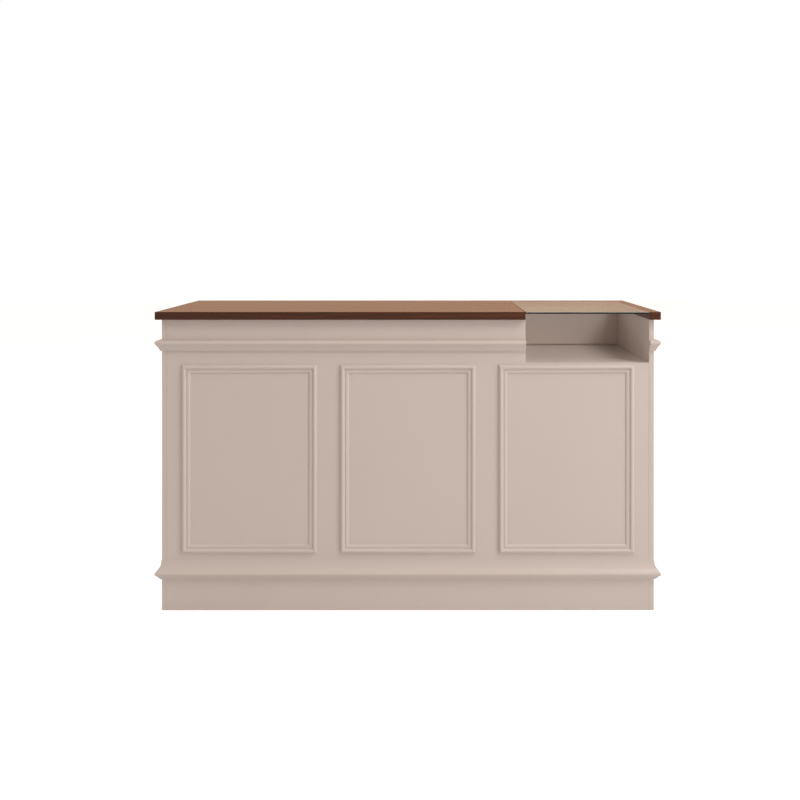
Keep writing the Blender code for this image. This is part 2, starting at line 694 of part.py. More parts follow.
# ---------------------------------------------------------------- keyboard tray


def keyboard_tray(tray):
    """A board whose edges run in two channels, with a taller front for the hand."""
    middle_z = TRAY_TOP - BOARD / 2
    depth = (FRONT_IN + TRAY_BACK_ROOM, FACE_Y - JOINT)
    side = JOINT + RUNNER_GAUGE + RUNNER_PLAY
    x = (CENTER_BAY[0] + side, CENTER_BAY[1] - side)
    board("keyboard_tray", x, depth, (TRAY_TOP - BOARD, TRAY_TOP), CREAM, tray)
    front_x = (CENTER_BAY[0] + DOOR_GAP, CENTER_BAY[1] - DOOR_GAP)
    front_z = (middle_z - TRAY_FRONT_HEIGHT / 2, middle_z + TRAY_FRONT_HEIGHT / 2)
    board("tray_front", front_x, (FACE_Y, BACK_Y), front_z, CREAM, tray)
    outline = channel_outline(RUNNER_DEPTH, BOARD + 2 * (RUNNER_PLAY + RUNNER_GAUGE), RUNNER_GAUGE)
    runner_y = (depth[0], FACE_Y - SLIDE_SETBACK)
    for place, wall, inward in (("left", CENTER_BAY[0], 1), ("right", CENTER_BAY[1], -1)):
        channel(f"tray_runner_{place}", outline, wall + inward * JOINT, inward, middle_z, runner_y)


# ---------------------------------------------------------------- doors


def knuckle_spans():
    """Low and high Z of each knuckle, counted from the hinge's middle."""
    length = DOOR_Z[1] - DOOR_Z[0] - 2 * HINGE_SHORTER
    each = (length - (HINGE_KNUCKLES - 1) * KNUCKLE_PLAY) / HINGE_KNUCKLES
    starts = [-length / 2 + i * (each + KNUCKLE_PLAY) for i in range(HINGE_KNUCKLES)]
    return [(start, start + each) for start in starts]


def hinge_leaf(name, axis_x, side, first, parent=None):
    """A leaf beside the hinge's axis, on the side +1 or -1 of it, with every second knuckle from first on.

    A comb-shaped plate lies in the gap beside the door, and its teeth reach into the knuckles. The
    cabinet's leaf, the one with knuckle 0, has solid knuckles that hold the pin. The door's leaf has
    bored ones that turn on it.
    """
    spans = knuckle_spans()
    middle_z = sum(DOOR_Z) / 2
    tooth_end = -(KNUCKLE_RADIUS + HINGE_PIN_RADIUS + HINGE_PIN_PLAY) / 2
    plate_top = BACK_Y - HINGE_Y
    plate_end = plate_top - HINGE_LEAF_WIDTH
    outline = [(plate_end, spans[0][0])]
    for i, (low, high) in enumerate(spans):
        edge = tooth_end if i % 2 == first else plate_top
        inset = KNUCKLE_PLAY if i % 2 == first else -KNUCKLE_PLAY
        low_end = low if i == 0 else low + inset
        high_end = high if i == len(spans) - 1 else high - inset
        outline += [(edge, low_end), (edge, high_end)]
    outline.append((plate_end, spans[-1][1]))
    plate_x = axis_x + side * (DOOR_GAP / 2 - JOINT - HINGE_LEAF / 2)
    place = across((0, 1, 0), (0, 0, 1), (plate_x, HINGE_Y, middle_z))
    leaf = add_object(name, prism([outline], HINGE_LEAF), BRASS, place, parent)
    for low, high in spans[first::2]:
        middle = Matrix.Translation((axis_x, HINGE_Y, middle_z + (low + high) / 2))
        if first == 0:
            knuckle = cylinder_mesh(KNUCKLE_RADIUS, high - low)
        else:
            knuckle = knuckle_tube(high - low)
        combine(leaf, knuckle, middle, "UNION")
    if first == 0:
        pin = cylinder_mesh(HINGE_PIN_RADIUS, spans[-1][0] + KNUCKLE_RADIUS - (spans[0][1] - KNUCKLE_RADIUS))
        combine(leaf, pin, Matrix.Translation((axis_x, HINGE_Y, middle_z)), "UNION")


def knuckle_tube(length):
    bore = HINGE_PIN_RADIUS + HINGE_PIN_PLAY
    half = length / 2
    profile = [(bore, half), (KNUCKLE_RADIUS, half), (KNUCKLE_RADIUS, -half), (bore, -half)]
    return turned(profile, ring=True)


def knob_profile():
    """(radius, height) down from the middle of the knob's face: a dome, a neck and a foot."""
    edge, under = KNOB_PROUD - 0.006, KNOB_PROUD - 0.010
    neck, foot = 0.0045, 0.0065
    dome = [(KNOB_RADIUS * x, edge + 0.006 * y) for x, y in arc((0, 0), 1, 90, 0, 5)]
    stem = [(0.0085, under), (neck, under - 0.003), (neck, 0.004), (foot, 0.002), (foot, 0), (0, 0)]
    return [*dome, *stem]


def door(name, bay, hinge_side, empty):
    """An inset door. hinge_side is -1 or +1, the side of the bay that it is hung on."""
    wall = bay[0] if hinge_side < 0 else bay[1]
    free = bay[1] if hinge_side < 0 else bay[0]
    board(name, (bay[0] + DOOR_GAP, bay[1] - DOOR_GAP), (FACE_Y, BACK_Y), DOOR_Z, CREAM, empty)
    knob_x = free + hinge_side * (DOOR_GAP + KNOB_INSET)
    place = along((0, 1, 0), (knob_x, BACK_Y + JOINT, DOOR_Z[1] - KNOB_DROP))
    add_object(f"{name}_knob", turned(knob_profile()), BRASS, place, empty, smooth=True)
    axis_x = wall - hinge_side * DOOR_GAP / 2
    hinge_leaf(f"{name}_hinge_cabinet_leaf", axis_x, hinge_side, 0)
    hinge_leaf(f"{name}_hinge_door_leaf", axis_x, -hinge_side, 1, empty)


# ---------------------------------------------------------------- the counter

for old in list(bpy.data.objects):
    bpy.data.objects.remove(old, do_unlink=True)

PARTS = collection("checkout_counter")
CUTTERS = collection("cutters", hidden=True)

CREAM = material("cream_painted_board", (0.76, 0.68, 0.60), 0.45)
WHITE_BOARD = material("white_melamine_board", (0.85, 0.83, 0.79), 0.40)
WALNUT = material("oiled_walnut", (0.22, 0.12, 0.06), 0.35)
GLASS = material("clear_glass", (0.92, 0.95, 0.93), 0.03, see_through=1.0)
STEEL = material("brushed_steel", (0.62, 0.62, 0.61), 0.32, 1.0)
BRASS = material("brushed_brass", (0.71, 0.54, 0.28), 0.30, 1.0)

carcass()
front_panel()
display_back()
countertop()
glass()
crown_and_base()
panel_frames()

drawer_axis = joint_empty("cash_drawer_axis", (LOCK_X, FACE_Y, LOCK_Z))
middle_axis = joint_empty("drawer_slide_axis", (LOCK_X, FACE_Y, LOCK_Z))
lock_axis = joint_empty("lock_axis", (LOCK_X, BACK_Y, LOCK_Z), drawer_axis)
drawer_box(drawer_axis)
drawer_front(drawer_axis)
drawer_handle(drawer_axis)
drawer_slides(drawer_axis, middle_axis)
lock_housing(drawer_axis)
lock_plug(lock_axis)
lock_cam(lock_axis)
key(lock_axis)
lock_strike()

tray_axis = joint_empty("keyboard_tray_axis", (sum(CENTER_BAY) / 2, FACE_Y, TRAY_TOP))
keyboard_tray(tray_axis)

for door_name, door_bay, hung in (("door_left", DRAWER_BAY, -1), ("door_right", DISPLAY_BAY, 1)):
    hinge_wall = door_bay[0] if hung < 0 else door_bay[1]
    hinge_line = (hinge_wall - hung * DOOR_GAP / 2, HINGE_Y, sum(DOOR_Z) / 2)
    door(door_name, door_bay, hung, joint_empty(f"{door_name}_axis", hinge_line))
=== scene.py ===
"""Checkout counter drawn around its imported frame: painted mouldings, walnut top, glass, brass and steel.

Lengths are metres.
"""

import functools
import json
import math

import bmesh
import bpy
import numpy as np
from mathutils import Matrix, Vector


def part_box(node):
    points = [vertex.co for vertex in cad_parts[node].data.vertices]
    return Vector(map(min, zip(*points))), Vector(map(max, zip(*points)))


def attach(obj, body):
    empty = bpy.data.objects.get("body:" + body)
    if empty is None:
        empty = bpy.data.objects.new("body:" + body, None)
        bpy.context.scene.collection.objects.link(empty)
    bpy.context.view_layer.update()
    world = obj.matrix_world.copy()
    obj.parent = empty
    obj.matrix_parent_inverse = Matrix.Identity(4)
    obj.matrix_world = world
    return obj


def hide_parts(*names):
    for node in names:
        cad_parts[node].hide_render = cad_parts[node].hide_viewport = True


bl_info = {
    "name": "Checkout counter",
    "version": (1, 0, 0),
    "blender": (4, 5, 0),
    "location": "3D View > Sidebar > Counter",
    "description": "Draws a panelled checkout counter with a walnut top and a glass display recess",
    "category": "Object",
}

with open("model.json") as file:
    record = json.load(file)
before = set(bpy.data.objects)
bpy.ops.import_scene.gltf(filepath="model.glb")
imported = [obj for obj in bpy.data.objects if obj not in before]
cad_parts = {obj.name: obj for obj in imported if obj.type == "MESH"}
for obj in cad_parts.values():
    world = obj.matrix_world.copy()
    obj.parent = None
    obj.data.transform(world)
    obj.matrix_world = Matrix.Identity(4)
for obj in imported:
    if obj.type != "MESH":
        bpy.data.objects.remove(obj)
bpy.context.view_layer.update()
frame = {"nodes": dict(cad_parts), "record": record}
MM = 0.001
SHARP_ANGLE = math.radians(35)


def linear(code):
    """An sRGB hex code as linear red, green and blue."""
    srgb = np.array([int(code[i : i + 2], 16) / 255 for i in (1, 3, 5)])
    low = srgb / 12.92
    high = ((srgb + 0.055) / 1.055) ** 2.4
    return tuple(float(v) for v in np.where(srgb <= 0.04045, low, high))


# ---------------------------------------------------------------- sizes and colours


def colour_property(name, description, code):
    """A colour whose default is an sRGB hex code."""
    return bpy.props.FloatVectorProperty(
        name=name, description=description, subtype="COLOR", min=0, max=1, default=linear(code)
    )


def size_property(name, description, default):
    """A length in metres."""
    return bpy.props.FloatProperty(
        name=name, description=description, subtype="DISTANCE", unit="LENGTH", default=default
    )


class CounterColours(bpy.types.PropertyGroup):
    """Colours of the finishes."""

    paint: colour_property("Paint", "Satin lacquer on the carcass, the doors and the mouldings", "#D3C6BE")
    walnut_dark: colour_property("Walnut, late wood", "The dark lines of the top's grain", "#41281A")
    walnut_mid: colour_property("Walnut, heartwood", "The main colour of the top", "#844E2F")
    walnut_light: colour_property("Walnut, streaks", "The pale streaks between the dark lines", "#A4663E")
    melamine: colour_property("Melamine", "Faces of the drawer box", "#E4E0D8")
    brass: colour_property("Brass", "Knobs, handle, key and hinges", "#C9A25E")
    steel: colour_property("Zinc-plated steel", "Slides, runners, lock and pegs", "#BFC0C0")
    floor: colour_property("Floor", "The plain floor that the counter stands on", "#EBEBEC")


class CounterSizes(bpy.types.PropertyGroup):
    """Sizes that the frame leaves open."""

    top_arris: size_property("Top arris", "Radius of the rounded edges of the walnut top", 1.8 * MM)
    top_corner: size_property("Top corner", "Radius of the top's upright corners", 3.0 * MM)
    glass_gap: size_property("Glass gap", "Clearance between the glass and the wood round it", 1.0 * MM)
    glass_arris: size_property(
        "Glass arris", "Width of the ground arris along the polished edges of the glass", 0.9 * MM
    )
    board_arris: size_property("Board arris", "Sanded edge of the painted boards", 0.5 * MM)
    hinge_screws: bpy.props.IntProperty(
        name="Hinge screws",
        description="Screws in each leaf of a door's continuous hinge",
        default=8,
        min=2,
        max=20,
    )


# ---------------------------------------------------------------- surfaces


def arc(start, end, steps):
    """Unit circle points from one angle to another, in degrees, as rows of cosine and sine."""
    angles = np.radians(np.linspace(start, end, steps + 1))
    return np.column_stack([np.cos(angles), np.sin(angles)])


def circle(sides):
    """Unit circle points all the way round, the first not repeated."""
    return arc(0, 360 - 360 / sides, sides - 1)


def inset(outline, depth):
    """A closed outline moved inward by depth: each corner slides along the sum of its two edges' inward
    normals, divided by one plus their dot product, which keeps every edge at the same distance."""
    ahead = np.roll(outline, -1, axis=0) - outline
    ahead /= np.linalg.norm(ahead, axis=1, keepdims=True)
    after = np.column_stack([-ahead[:, 1], ahead[:, 0]])
    before = np.roll(after, 1, axis=0)
    return outline + depth * (before + after) / (1 + (before * after).sum(axis=1, keepdims=True))


def sideways(path):
    """Unit directions square to a flat open path, on its left: its steps, scaled to one and turned by a
    quarter."""
    ahead = np.gradient(path, axis=0)
    ahead /= np.linalg.norm(ahead, axis=1, keepdims=True)
    return np.column_stack([-ahead[:, 1], ahead[:, 0]])


def round_corners(corners, radii, steps=6):
    """A closed outline of right-angled corners, each turned into a quarter circle.

    With a and b the unit directions to the corners before and after, the quarter's points are the corner
    plus the radius times a (1 - sin t) + b (1 - cos t), for t from 0 to 90 degrees.
    """
    corners = np.asarray(corners, float)
    radii = np.broadcast_to(radii, len(corners))[:, None, None]
    to_last = np.roll(corners, 1, axis=0) - corners
    to_next = np.roll(corners, -1, axis=0) - corners
    to_last /= np.linalg.norm(to_last, axis=1, keepdims=True)
    to_next /= np.linalg.norm(to_next, axis=1, keepdims=True)
    turn = arc(0, 90, steps)
    bend = to_last[:, None] * (1 - turn[None, :, 1:]) + to_next[:, None] * (1 - turn[None, :, :1])
    return (corners[:, None] + radii * bend).reshape(-1, 2)


def at(points, origin, x_axis=(1, 0, 0), y_axis=(0, 1, 0), z_axis=(0, 0, 1)):
    """Points of a local frame placed in the row frame: origin plus x, y and z times the three axes."""
    return np.asarray(origin, float) + np.asarray(points, float) @ np.array([x_axis, y_axis, z_axis], float)


def stacked(layers):
    """Rings from pairs of a flat outline and the height that it is lifted to."""
    return np.stack([np.column_stack([flat, np.full(len(flat), height)]) for flat, height in layers])


def pierced(outline, hole, thick, ease):
    """Rings of a flat plate with a hole and eased outer edges: from the hole out over the lower face, up
    the edge, and back in over the upper face. The hole has a point for each point of the outline."""
    soft = inset(outline, ease)
    return stacked(
        [(hole, 0), (soft, 0), (outline, ease), (outline, thick - ease), (soft, thick), (hole, thick)]
    )


# Axes for a flat drawing that stands on a face towards the staff, for a shape turned about the way out of
# that face, and for a section that runs along X.
ON_FACE = ((1, 0, 0), (0, 0, 1), (0, 1, 0))
TURNED_OUT = ((0, 0, 1), (1, 0, 0), (0, 1, 0))
ALONG_X = ((0, 1, 0), (0, 0, 1), (1, 0, 0))


def soft_edged(outline, low, high, radius, steps=6):
    """Rings of a plate with rounded edges: the outline is inset by the radius times 1 - sin t while it
    climbs by the radius times 1 - cos t, and the same the other way round under the upper face."""
    turn = arc(0, 90, steps)
    lower = [(radius * (1 - s), low + radius * (1 - c)) for c, s in turn]
    upper = [(radius * (1 - c), high - radius * (1 - s)) for c, s in turn]
    return stacked([(inset(outline, depth), height) for depth, height in lower + upper])


def turned(profile, sides=48):
    """Rings of a turned shape about local Z: a (radius, height) profile is swung through a full turn."""
    around = circle(sides)
    radius, height = np.asarray(profile, float).T
    xy = around[:, None, :] * radius[None, :, None]
    return np.concatenate([xy, np.broadcast_to(height[None, :, None], (*xy.shape[:2], 1))], axis=2)


def placed(name, data):
    """A new object for a mesh, a lamp or a camera."""
    obj = bpy.data.objects.new(name, data)
    bpy.context.scene.collection.objects.link(obj)
    return obj


def grid_faces(count, width, loop):
    """Quads between neighbouring rings, which close on themselves. Open ends get one face each."""
    index = np.arange(count * width).reshape(count, width)
    start = index if loop else index[:-1]
    after = np.roll(index, -1, axis=0) if loop else index[1:]
    quads = np.stack([start, np.roll(start, -1, axis=1), np.roll(after, -1, axis=1), after], axis=-1)
    faces = quads.reshape(-1, 4).tolist()
    return faces if loop else [*faces, index[0, ::-1].tolist(), index[-1].tolist()]


def piece(name, rings, body, slot, stands_for=(), loop=False, finish=None):
    """A piece from rings of points: an array of rings by points by three, or a list of such arrays.

    Doubled points, such as those of a pole, are merged, the faces are turned outward, and edges sharper
    than 35 degrees stay sharp. The finish is the slot's own unless another is given.
    """
    shells = rings if isinstance(rings, list) else [rings]
    points, faces, first = [], [], 0
    for shell in shells:
        count, width = shell.shape[:2]
        points.append(shell.reshape(-1, 3))
        faces += [[first + i for i in face] for face in grid_faces(count, width, loop)]
        first += count * width
    mesh = bpy.data.meshes.new(name)
    mesh.from_pydata(np.concatenate(points), [], faces)
    bm = bmesh.new()
    bm.from_mesh(mesh)
    bmesh.ops.remove_doubles(bm, verts=bm.verts, dist=1e-7)
    bmesh.ops.recalc_face_normals(bm, faces=bm.faces)
    bm.to_mesh(mesh)
    bm.free()
    mesh.shade_smooth()
    mesh.set_sharp_from_angle(angle=SHARP_ANGLE)
    mesh.materials.append(finish or FINISHES[slot]())
    obj = placed(name, mesh)
    keep = obj.modifiers.new("flat faces stay flat", "WEIGHTED_NORMAL")
    keep.keep_sharp = True
    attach(obj, body)
    if stands_for:
        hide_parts(*stands_for)
    return obj


# ---------------------------------------------------------------- materials


def plug_in(node, inputs):
    """Sets a node's sockets, by name or number, to values, or links other nodes' outputs to them."""
    for name, value in inputs.items():
        if isinstance(value, bpy.types.NodeSocket):
            node.id_data.links.new(value, node.inputs[name])
        else:
            node.inputs[name].default_value = value


def add(tree, kind, inputs=None, **settings):
    """Adds a node with its settings, which are its properties, and its inputs."""
    node = tree.nodes.new(kind)
    for name, value in settings.items():
        setattr(node, name, value)
    plug_in(node, inputs or {})
    return node


def rgba(colour, fade=1.0):
    """A colour or an sRGB hex code as linear red, green, blue and full alpha, its channels times fade."""
    rgb = linear(colour) if isinstance(colour, str) else colour
    return (*np.multiply(rgb, fade).tolist(), 1.0)


def new_material(name):
    """An empty node material, its tree, its Principled shader and the place on the object in metres."""
    made = bpy.data.materials.new(name)
    made.use_nodes = True
    tree = made.node_tree
    return made, tree, tree.nodes["Principled BSDF"], add(tree, "ShaderNodeTexCoord").outputs["Object"]


@functools.cache
def satin_lacquer():
    """Satin lacquer rolled onto fibreboard: an even, slightly stippled coat with a soft sheen."""
    paint = bpy.context.scene.counter_colours.paint
    made, tree, shader, place = new_material("rolled_satin_lacquer")
    # Laps of the roller, about 250 mm wide, change the tone by one or two parts in a hundred.
    laps = add(tree, "ShaderNodeTexNoise", {"Vector": place, "Scale": 4.0, "Detail": 3.0, "Roughness": 0.55})
    # The stipple of a fine roller is about 1 mm. It is drawn at 2.5 mm, the least that shows.
    stipple = add(tree, "ShaderNodeTexNoise", {"Vector": place, "Scale": 400.0, "Detail": 2.0})
    deeper = rgba(paint, 0.955)
    tone = add(tree, "ShaderNodeMix", {0: laps.outputs[0], 6: rgba(paint), 7: deeper}, data_type="RGBA")
    # The lowest 60 mm is a little darker, in patches, and darkest towards the bottom.
    height = add(tree, "ShaderNodeSeparateXYZ", {"Vector": place})
    low = add(
        tree,
        "ShaderNodeMapRange",
        {"Value": height.outputs["Z"], "From Min": 0.060, "From Max": 0.0, "To Min": 0.0, "To Max": 0.35},
    )
    low_patches = add(
        tree, "ShaderNodeTexNoise", {"Vector": place, "Scale": 22.0, "Detail": 5.0, "Roughness": 0.7}
    )
    patchy = add(tree, "ShaderNodeMath", {0: low.outputs[0], 1: low_patches.outputs[0]}, operation="MULTIPLY")
    low_darker_paint = rgba(paint, (0.80, 0.76, 0.72))
    paint_darker_low = add(
        tree, "ShaderNodeMix", {0: patchy.outputs[0], 6: tone.outputs[2], 7: low_darker_paint}, data_type="RGBA"
    )
    sheen = add(
        tree,
        "ShaderNodeMapRange",
        {"Value": laps.outputs[0], "From Min": 0.3, "From Max": 0.7, "To Min": 0.31, "To Max": 0.39},
    )
    bump = add(tree, "ShaderNodeBump", {"Height": stipple.outputs[0], "Strength": 0.10, "Distance": 0.0004})
    plug_in(shader, {
        "Base Color": paint_darker_low.outputs[2],
        "Roughness": sheen.outputs[0],
        "IOR": 1.48,
        "Normal": bump.outputs[0],
    })
    return made


@functools.cache
def oiled_walnut():
    """Oiled American walnut, straight-grained along X: dark late-wood lines, pale streaks, fine open pores,
    and arcs of the same rings on the ends."""
    colours = bpy.context.scene.counter_colours
    made, tree, shader, place = new_material("hardwax_oiled_walnut")
    # The rings' centre lies 260 mm behind and 330 mm below the middle of the board.
    pith = add(tree, "ShaderNodeMapping", {"Vector": place, "Location": (0.0, -0.26, -0.60)})
    # The tree leans and swells slowly along the board, which bends the lines over 0.4 to 1 m.
    along = add(tree, "ShaderNodeMapping", {"Vector": place, "Scale": (1.1, 5.0, 5.0)})
    sway = add(tree, "ShaderNodeTexNoise", {"Vector": along.outputs[0], "Scale": 1.0, "Detail": 3.0})
    centred = add(
        tree, "ShaderNodeVectorMath", {0: sway.outputs["Color"], 1: (0.5, 0.5, 0.5)}, operation="SUBTRACT"
    )
    shift = add(
        tree, "ShaderNodeVectorMath", {0: centred.outputs[0], 1: (0.0, 0.055, 0.055)}, operation="MULTIPLY"
    )
    swayed = add(tree, "ShaderNodeVectorMath", {0: pith.outputs[0], 1: shift.outputs[0]}, operation="ADD")
    # Rings 7 mm apart: a wave has one crest per 2 pi / (20 scale) metres.
    rings = add(
        tree,
        "ShaderNodeTexWave",
        {"Vector": swayed.outputs[0], "Scale": math.pi / (10 * 7 * MM), "Distortion": 1.2, "Detail": 2.0,
         "Detail Scale": 0.6},
        wave_type="RINGS",
        rings_direction="X",
        wave_profile="SAW",
    )
    # Fibres: streaks about 1.5 mm wide and 150 mm long.
    fibre_place = add(tree, "ShaderNodeMapping", {"Vector": place, "Scale": (6.0, 620.0, 620.0)})
    fibres = add(tree, "ShaderNodeTexNoise", {"Vector": fibre_place.outputs[0], "Scale": 1.0, "Detail": 4.0})
    # Broad bands of paler and darker heartwood, 40 to 90 mm wide.
    band_place = add(tree, "ShaderNodeMapping", {"Vector": place, "Scale": (0.9, 18.0, 18.0)})
    bands = add(tree, "ShaderNodeTexNoise", {"Vector": band_place.outputs[0], "Scale": 1.0, "Detail": 2.0})
    # Pores: dark dashes 0.4 mm wide and 8 mm long, drawn 0.8 mm wide so that they show.
    pore_place = add(tree, "ShaderNodeMapping", {"Vector": place, "Scale": (110.0, 1250.0, 1250.0)})
    pores = add(tree, "ShaderNodeTexNoise", {"Vector": pore_place.outputs[0], "Scale": 1.0, "Detail": 1.0})
    # How much of each shows: the wave or noise, its output, the range that counts, and the most it gives.
    shares = [
        add(
            tree,
            "ShaderNodeMapRange",
            {"Value": source.outputs[output], "From Min": least, "From Max": full, "To Max": most},
        ).outputs[0]
        for source, output, least, full, most in (
            (pores, 0, 0.60, 0.72, 0.65),
            (rings, 1, 0.55, 1.0, 0.75),
            (bands, 0, 0.40, 0.68, 0.85),
            (fibres, 0, 0.35, 0.75, 0.55),
        )
    ]
    open_pores, ring_share, pale_share, fibre_share = shares
    dark, mid, light = map(rgba, (colours.walnut_dark, colours.walnut_mid, colours.walnut_light))
    tone = mid
    filled = rgba("#1E1008")
    for share, shade in ((pale_share, light), (fibre_share, dark), (ring_share, dark), (open_pores, filled)):
        tone = add(tree, "ShaderNodeMix", {0: share, 6: tone, 7: shade}, data_type="RGBA").outputs[2]
    oil = add(
        tree,
        "ShaderNodeMapRange",
        {"Value": fibres.outputs[0], "From Min": 0.3, "From Max": 0.7, "To Min": 0.20, "To Max": 0.30},
    )
    relief = add(tree, "ShaderNodeMath", {0: fibres.outputs[0], 1: open_pores}, operation="SUBTRACT")
    bump = add(tree, "ShaderNodeBump", {"Height": relief.outputs[0], "Strength": 0.25, "Distance": 0.0003})
    # Faces that turn away from up are darker: on the ends this is partly the oil that end grain soaks up,
    # and the rest is painted shade on the sides of the top.
    facing = add(tree, "ShaderNodeNewGeometry")
    up = add(tree, "ShaderNodeSeparateXYZ", {"Vector": facing.outputs["Normal"]})
    edge = add(
        tree,
        "ShaderNodeMapRange",
        {"Value": up.outputs["Z"], "From Min": 0.75, "From Max": 0.98, "To Min": 1.0, "To Max": 0.0},
    )
    # Painted shade: the sides of the top are multiplied by a dark brown.
    oil_soak_and_painted_shade = add(
        tree,
        "ShaderNodeMix",
        {0: edge.outputs[0], 6: tone, 7: rgba("#A0866C")},
        data_type="RGBA",
        blend_type="MULTIPLY",
    )
    plug_in(
        shader, {"Base Color": oil_soak_and_painted_shade.outputs[2], "Roughness": oil.outputs[0], "Normal": bump.outputs[0]}
    )
    return made


@functools.cache
def polished_glass():
    """Clear polished float glass. It mirrors the room at a slant, and lamps shine through it onto what lies
    below."""
    made, tree, shader, place = new_material("polished_float_glass")
    # Wiping leaves faint smears, 30 to 80 mm across, that only change the gloss.
    smears = add(
        tree, "ShaderNodeTexNoise", {"Vector": place, "Scale": 16.0, "Detail": 4.0, "Distortion": 0.8}
    )
    gloss = add(
        tree,
        "ShaderNodeMapRange",
        {"Value": smears.outputs[0], "From Min": 0.35, "From Max": 0.75, "To Min": 0.01, "To Max": 0.06},
    )
    plug_in(shader, {
        "Base Color": rgba("#F1F6F3"),
        "Roughness": gloss.outputs[0],
        "IOR": 1.52,
        "Transmission Weight": 1.0,
    })
    ray = add(tree, "ShaderNodeLightPath")
    # Lamps lose a sixth on the way through, and bounced light, which meets the sheet at a slant, two fifths.
    passed = add(
        tree,
        "ShaderNodeMix",
        {0: ray.outputs["Is Shadow Ray"], 6: (0.60, 0.59, 0.58, 1.0), 7: (0.84, 0.83, 0.82, 1.0)},
        data_type="RGBA",
    )
    lamp_or_bounce = add(
        tree,
        "ShaderNodeMath",
        {0: ray.outputs["Is Shadow Ray"], 1: ray.outputs["Is Diffuse Ray"]},
        operation="MAXIMUM",
    )
    clear = add(tree, "ShaderNodeBsdfTransparent", {"Color": passed.outputs[2]})
    mix = add(
        tree,
        "ShaderNodeMixShader",
        {0: lamp_or_bounce.outputs[0], 1: shader.outputs[0], 2: clear.outputs[0]},
    )
    plug_in(tree.nodes["Material Output"], {"Surface": mix.outputs[0]})
    return made


@functools.cache
def glass_edge_painted_dark():
    """The polished edge of clear float glass, drawn as an opaque green that is nearly black. The green is
    the iron in the glass, and the near-black is painted shade that stands in for the dark seen through the
    edge. Faint lengthwise bands come from the polishing wheels."""
    made, tree, shader, place = new_material("polished_glass_edge")
    # The wheels leave bands about 1 mm apart across the 6 mm edge.
    bands_place = add(tree, "ShaderNodeMapping", {"Vector": place, "Scale": (8.0, 8.0, 1000.0)})
    bands = add(tree, "ShaderNodeTexNoise", {"Vector": bands_place.outputs[0], "Scale": 1.0, "Detail": 2.0})
    # Painted shade: the edge is coloured nearly black for the dark that is seen through it.
    tone = add(
        tree,
        "ShaderNodeMix",
        {0: bands.outputs[0], 6: rgba("#060807"), 7: rgba("#101613")},
        data_type="RGBA",
    )
    rough = add(
        tree,
        "ShaderNodeMapRange",
        {"Value": bands.outputs[0], "From Min": 0.3, "From Max": 0.7, "To Min": 0.10, "To Max": 0.22},
    )
    plug_in(shader, {"Base Color": tone.outputs[2], "Roughness": rough.outputs[0], "IOR": 1.52})
    return made


@functools.cache
def ground_arris_painted_highlight():
    """The front arris of the glass, ground with a fine stone and left matt: a thin pale line, which also
    serves as a painted highlight where the arris catches the light.
    """
    made, tree, shader, place = new_material("ground_glass_arris")
    # The stone's chatter repeats every 3 mm or so along the edge.
    chatter = add(tree, "ShaderNodeTexNoise", {"Vector": place, "Scale": 330.0, "Detail": 2.0})
    tone = add(
        tree,
        "ShaderNodeMix",
        {0: chatter.outputs[0], 6: rgba("#C9CEC8"), 7: rgba("#E2E5DF")},
        data_type="RGBA",
    )
    plug_in(shader, {"Base Color": tone.outputs[2], "Roughness": 0.6})
    return made


@functools.cache
def brushed(name, colour, low, high, scale):
    """Brushed metal: fine parallel scratches change its gloss, and broad cloudy patches dull it a little."""
    made, tree, shader, place = new_material(name)
    grain_place = add(tree, "ShaderNodeMapping", {"Vector": place, "Scale": scale})
    grain = add(tree, "ShaderNodeTexNoise", {"Vector": grain_place.outputs[0], "Scale": 1.0, "Detail": 3.0})
    clouds = add(tree, "ShaderNodeTexNoise", {"Vector": place, "Scale": 60.0, "Detail": 3.0})
    rough = add(
        tree,
        "ShaderNodeMapRange",
        {"Value": grain.outputs[0], "From Min": 0.3, "From Max": 0.7, "To Min": low, "To Max": high},
    )
    dull = rgba(colour, 0.86)
    tone = add(tree, "ShaderNodeMix", {0: clouds.outputs[0], 6: rgba(colour), 7: dull}, data_type="RGBA")
    bump = add(tree, "ShaderNodeBump", {"Height": grain.outputs[0], "Strength": 0.12, "Distance": 0.0001})
    plug_in(shader, {
        "Base Color": tone.outputs[2],
        "Metallic": 1.0,
        "Roughness": rough.outputs[0],
        "Normal": bump.outputs[0],
    })
    return made


def brushed_brass():
    """Lacquered brass brushed round the piece."""
    colour = bpy.context.scene.counter_colours.brass
    return brushed("lacquered_brushed_brass", tuple(colour), 0.24, 0.38, (900.0, 900.0, 2500.0))


def zinc_steel():
    """Zinc-plated cold-rolled steel, with its rolling marks along Y."""
    colour = bpy.context.scene.counter_colours.steel
    return brushed("rolled_zinc_plated_steel", tuple(colour), 0.28, 0.42, (1800.0, 60.0, 1800.0))


@functools.cache
def melamine():
    """Melamine-faced chipboard with a fine pearl emboss."""
    colour = bpy.context.scene.counter_colours.melamine
    made, tree, shader, place = new_material("embossed_melamine")
    # The emboss is 0.8 mm across and is drawn at 1.5 mm.
    pearl = add(
        tree, "ShaderNodeTexVoronoi", {"Vector": place, "Scale": 1 / (1.5 * MM)}, feature="SMOOTH_F1"
    )
    fleck = add(tree, "ShaderNodeTexNoise", {"Vector": place, "Scale": 9.0, "Detail": 4.0})
    warmer = rgba(colour, (0.97, 0.95, 0.92))
    tone = add(tree, "ShaderNodeMix", {0: fleck.outputs[0], 6: rgba(colour), 7: warmer}, data_type="RGBA")
    bump = add(tree, "ShaderNodeBump", {"Height": pearl.outputs[0], "Strength": 0.15, "Distance": 0.0002})
    plug_in(shader, {"Base Color": tone.outputs[2], "Roughness": 0.38, "Normal": bump.outputs[0]})
    return made


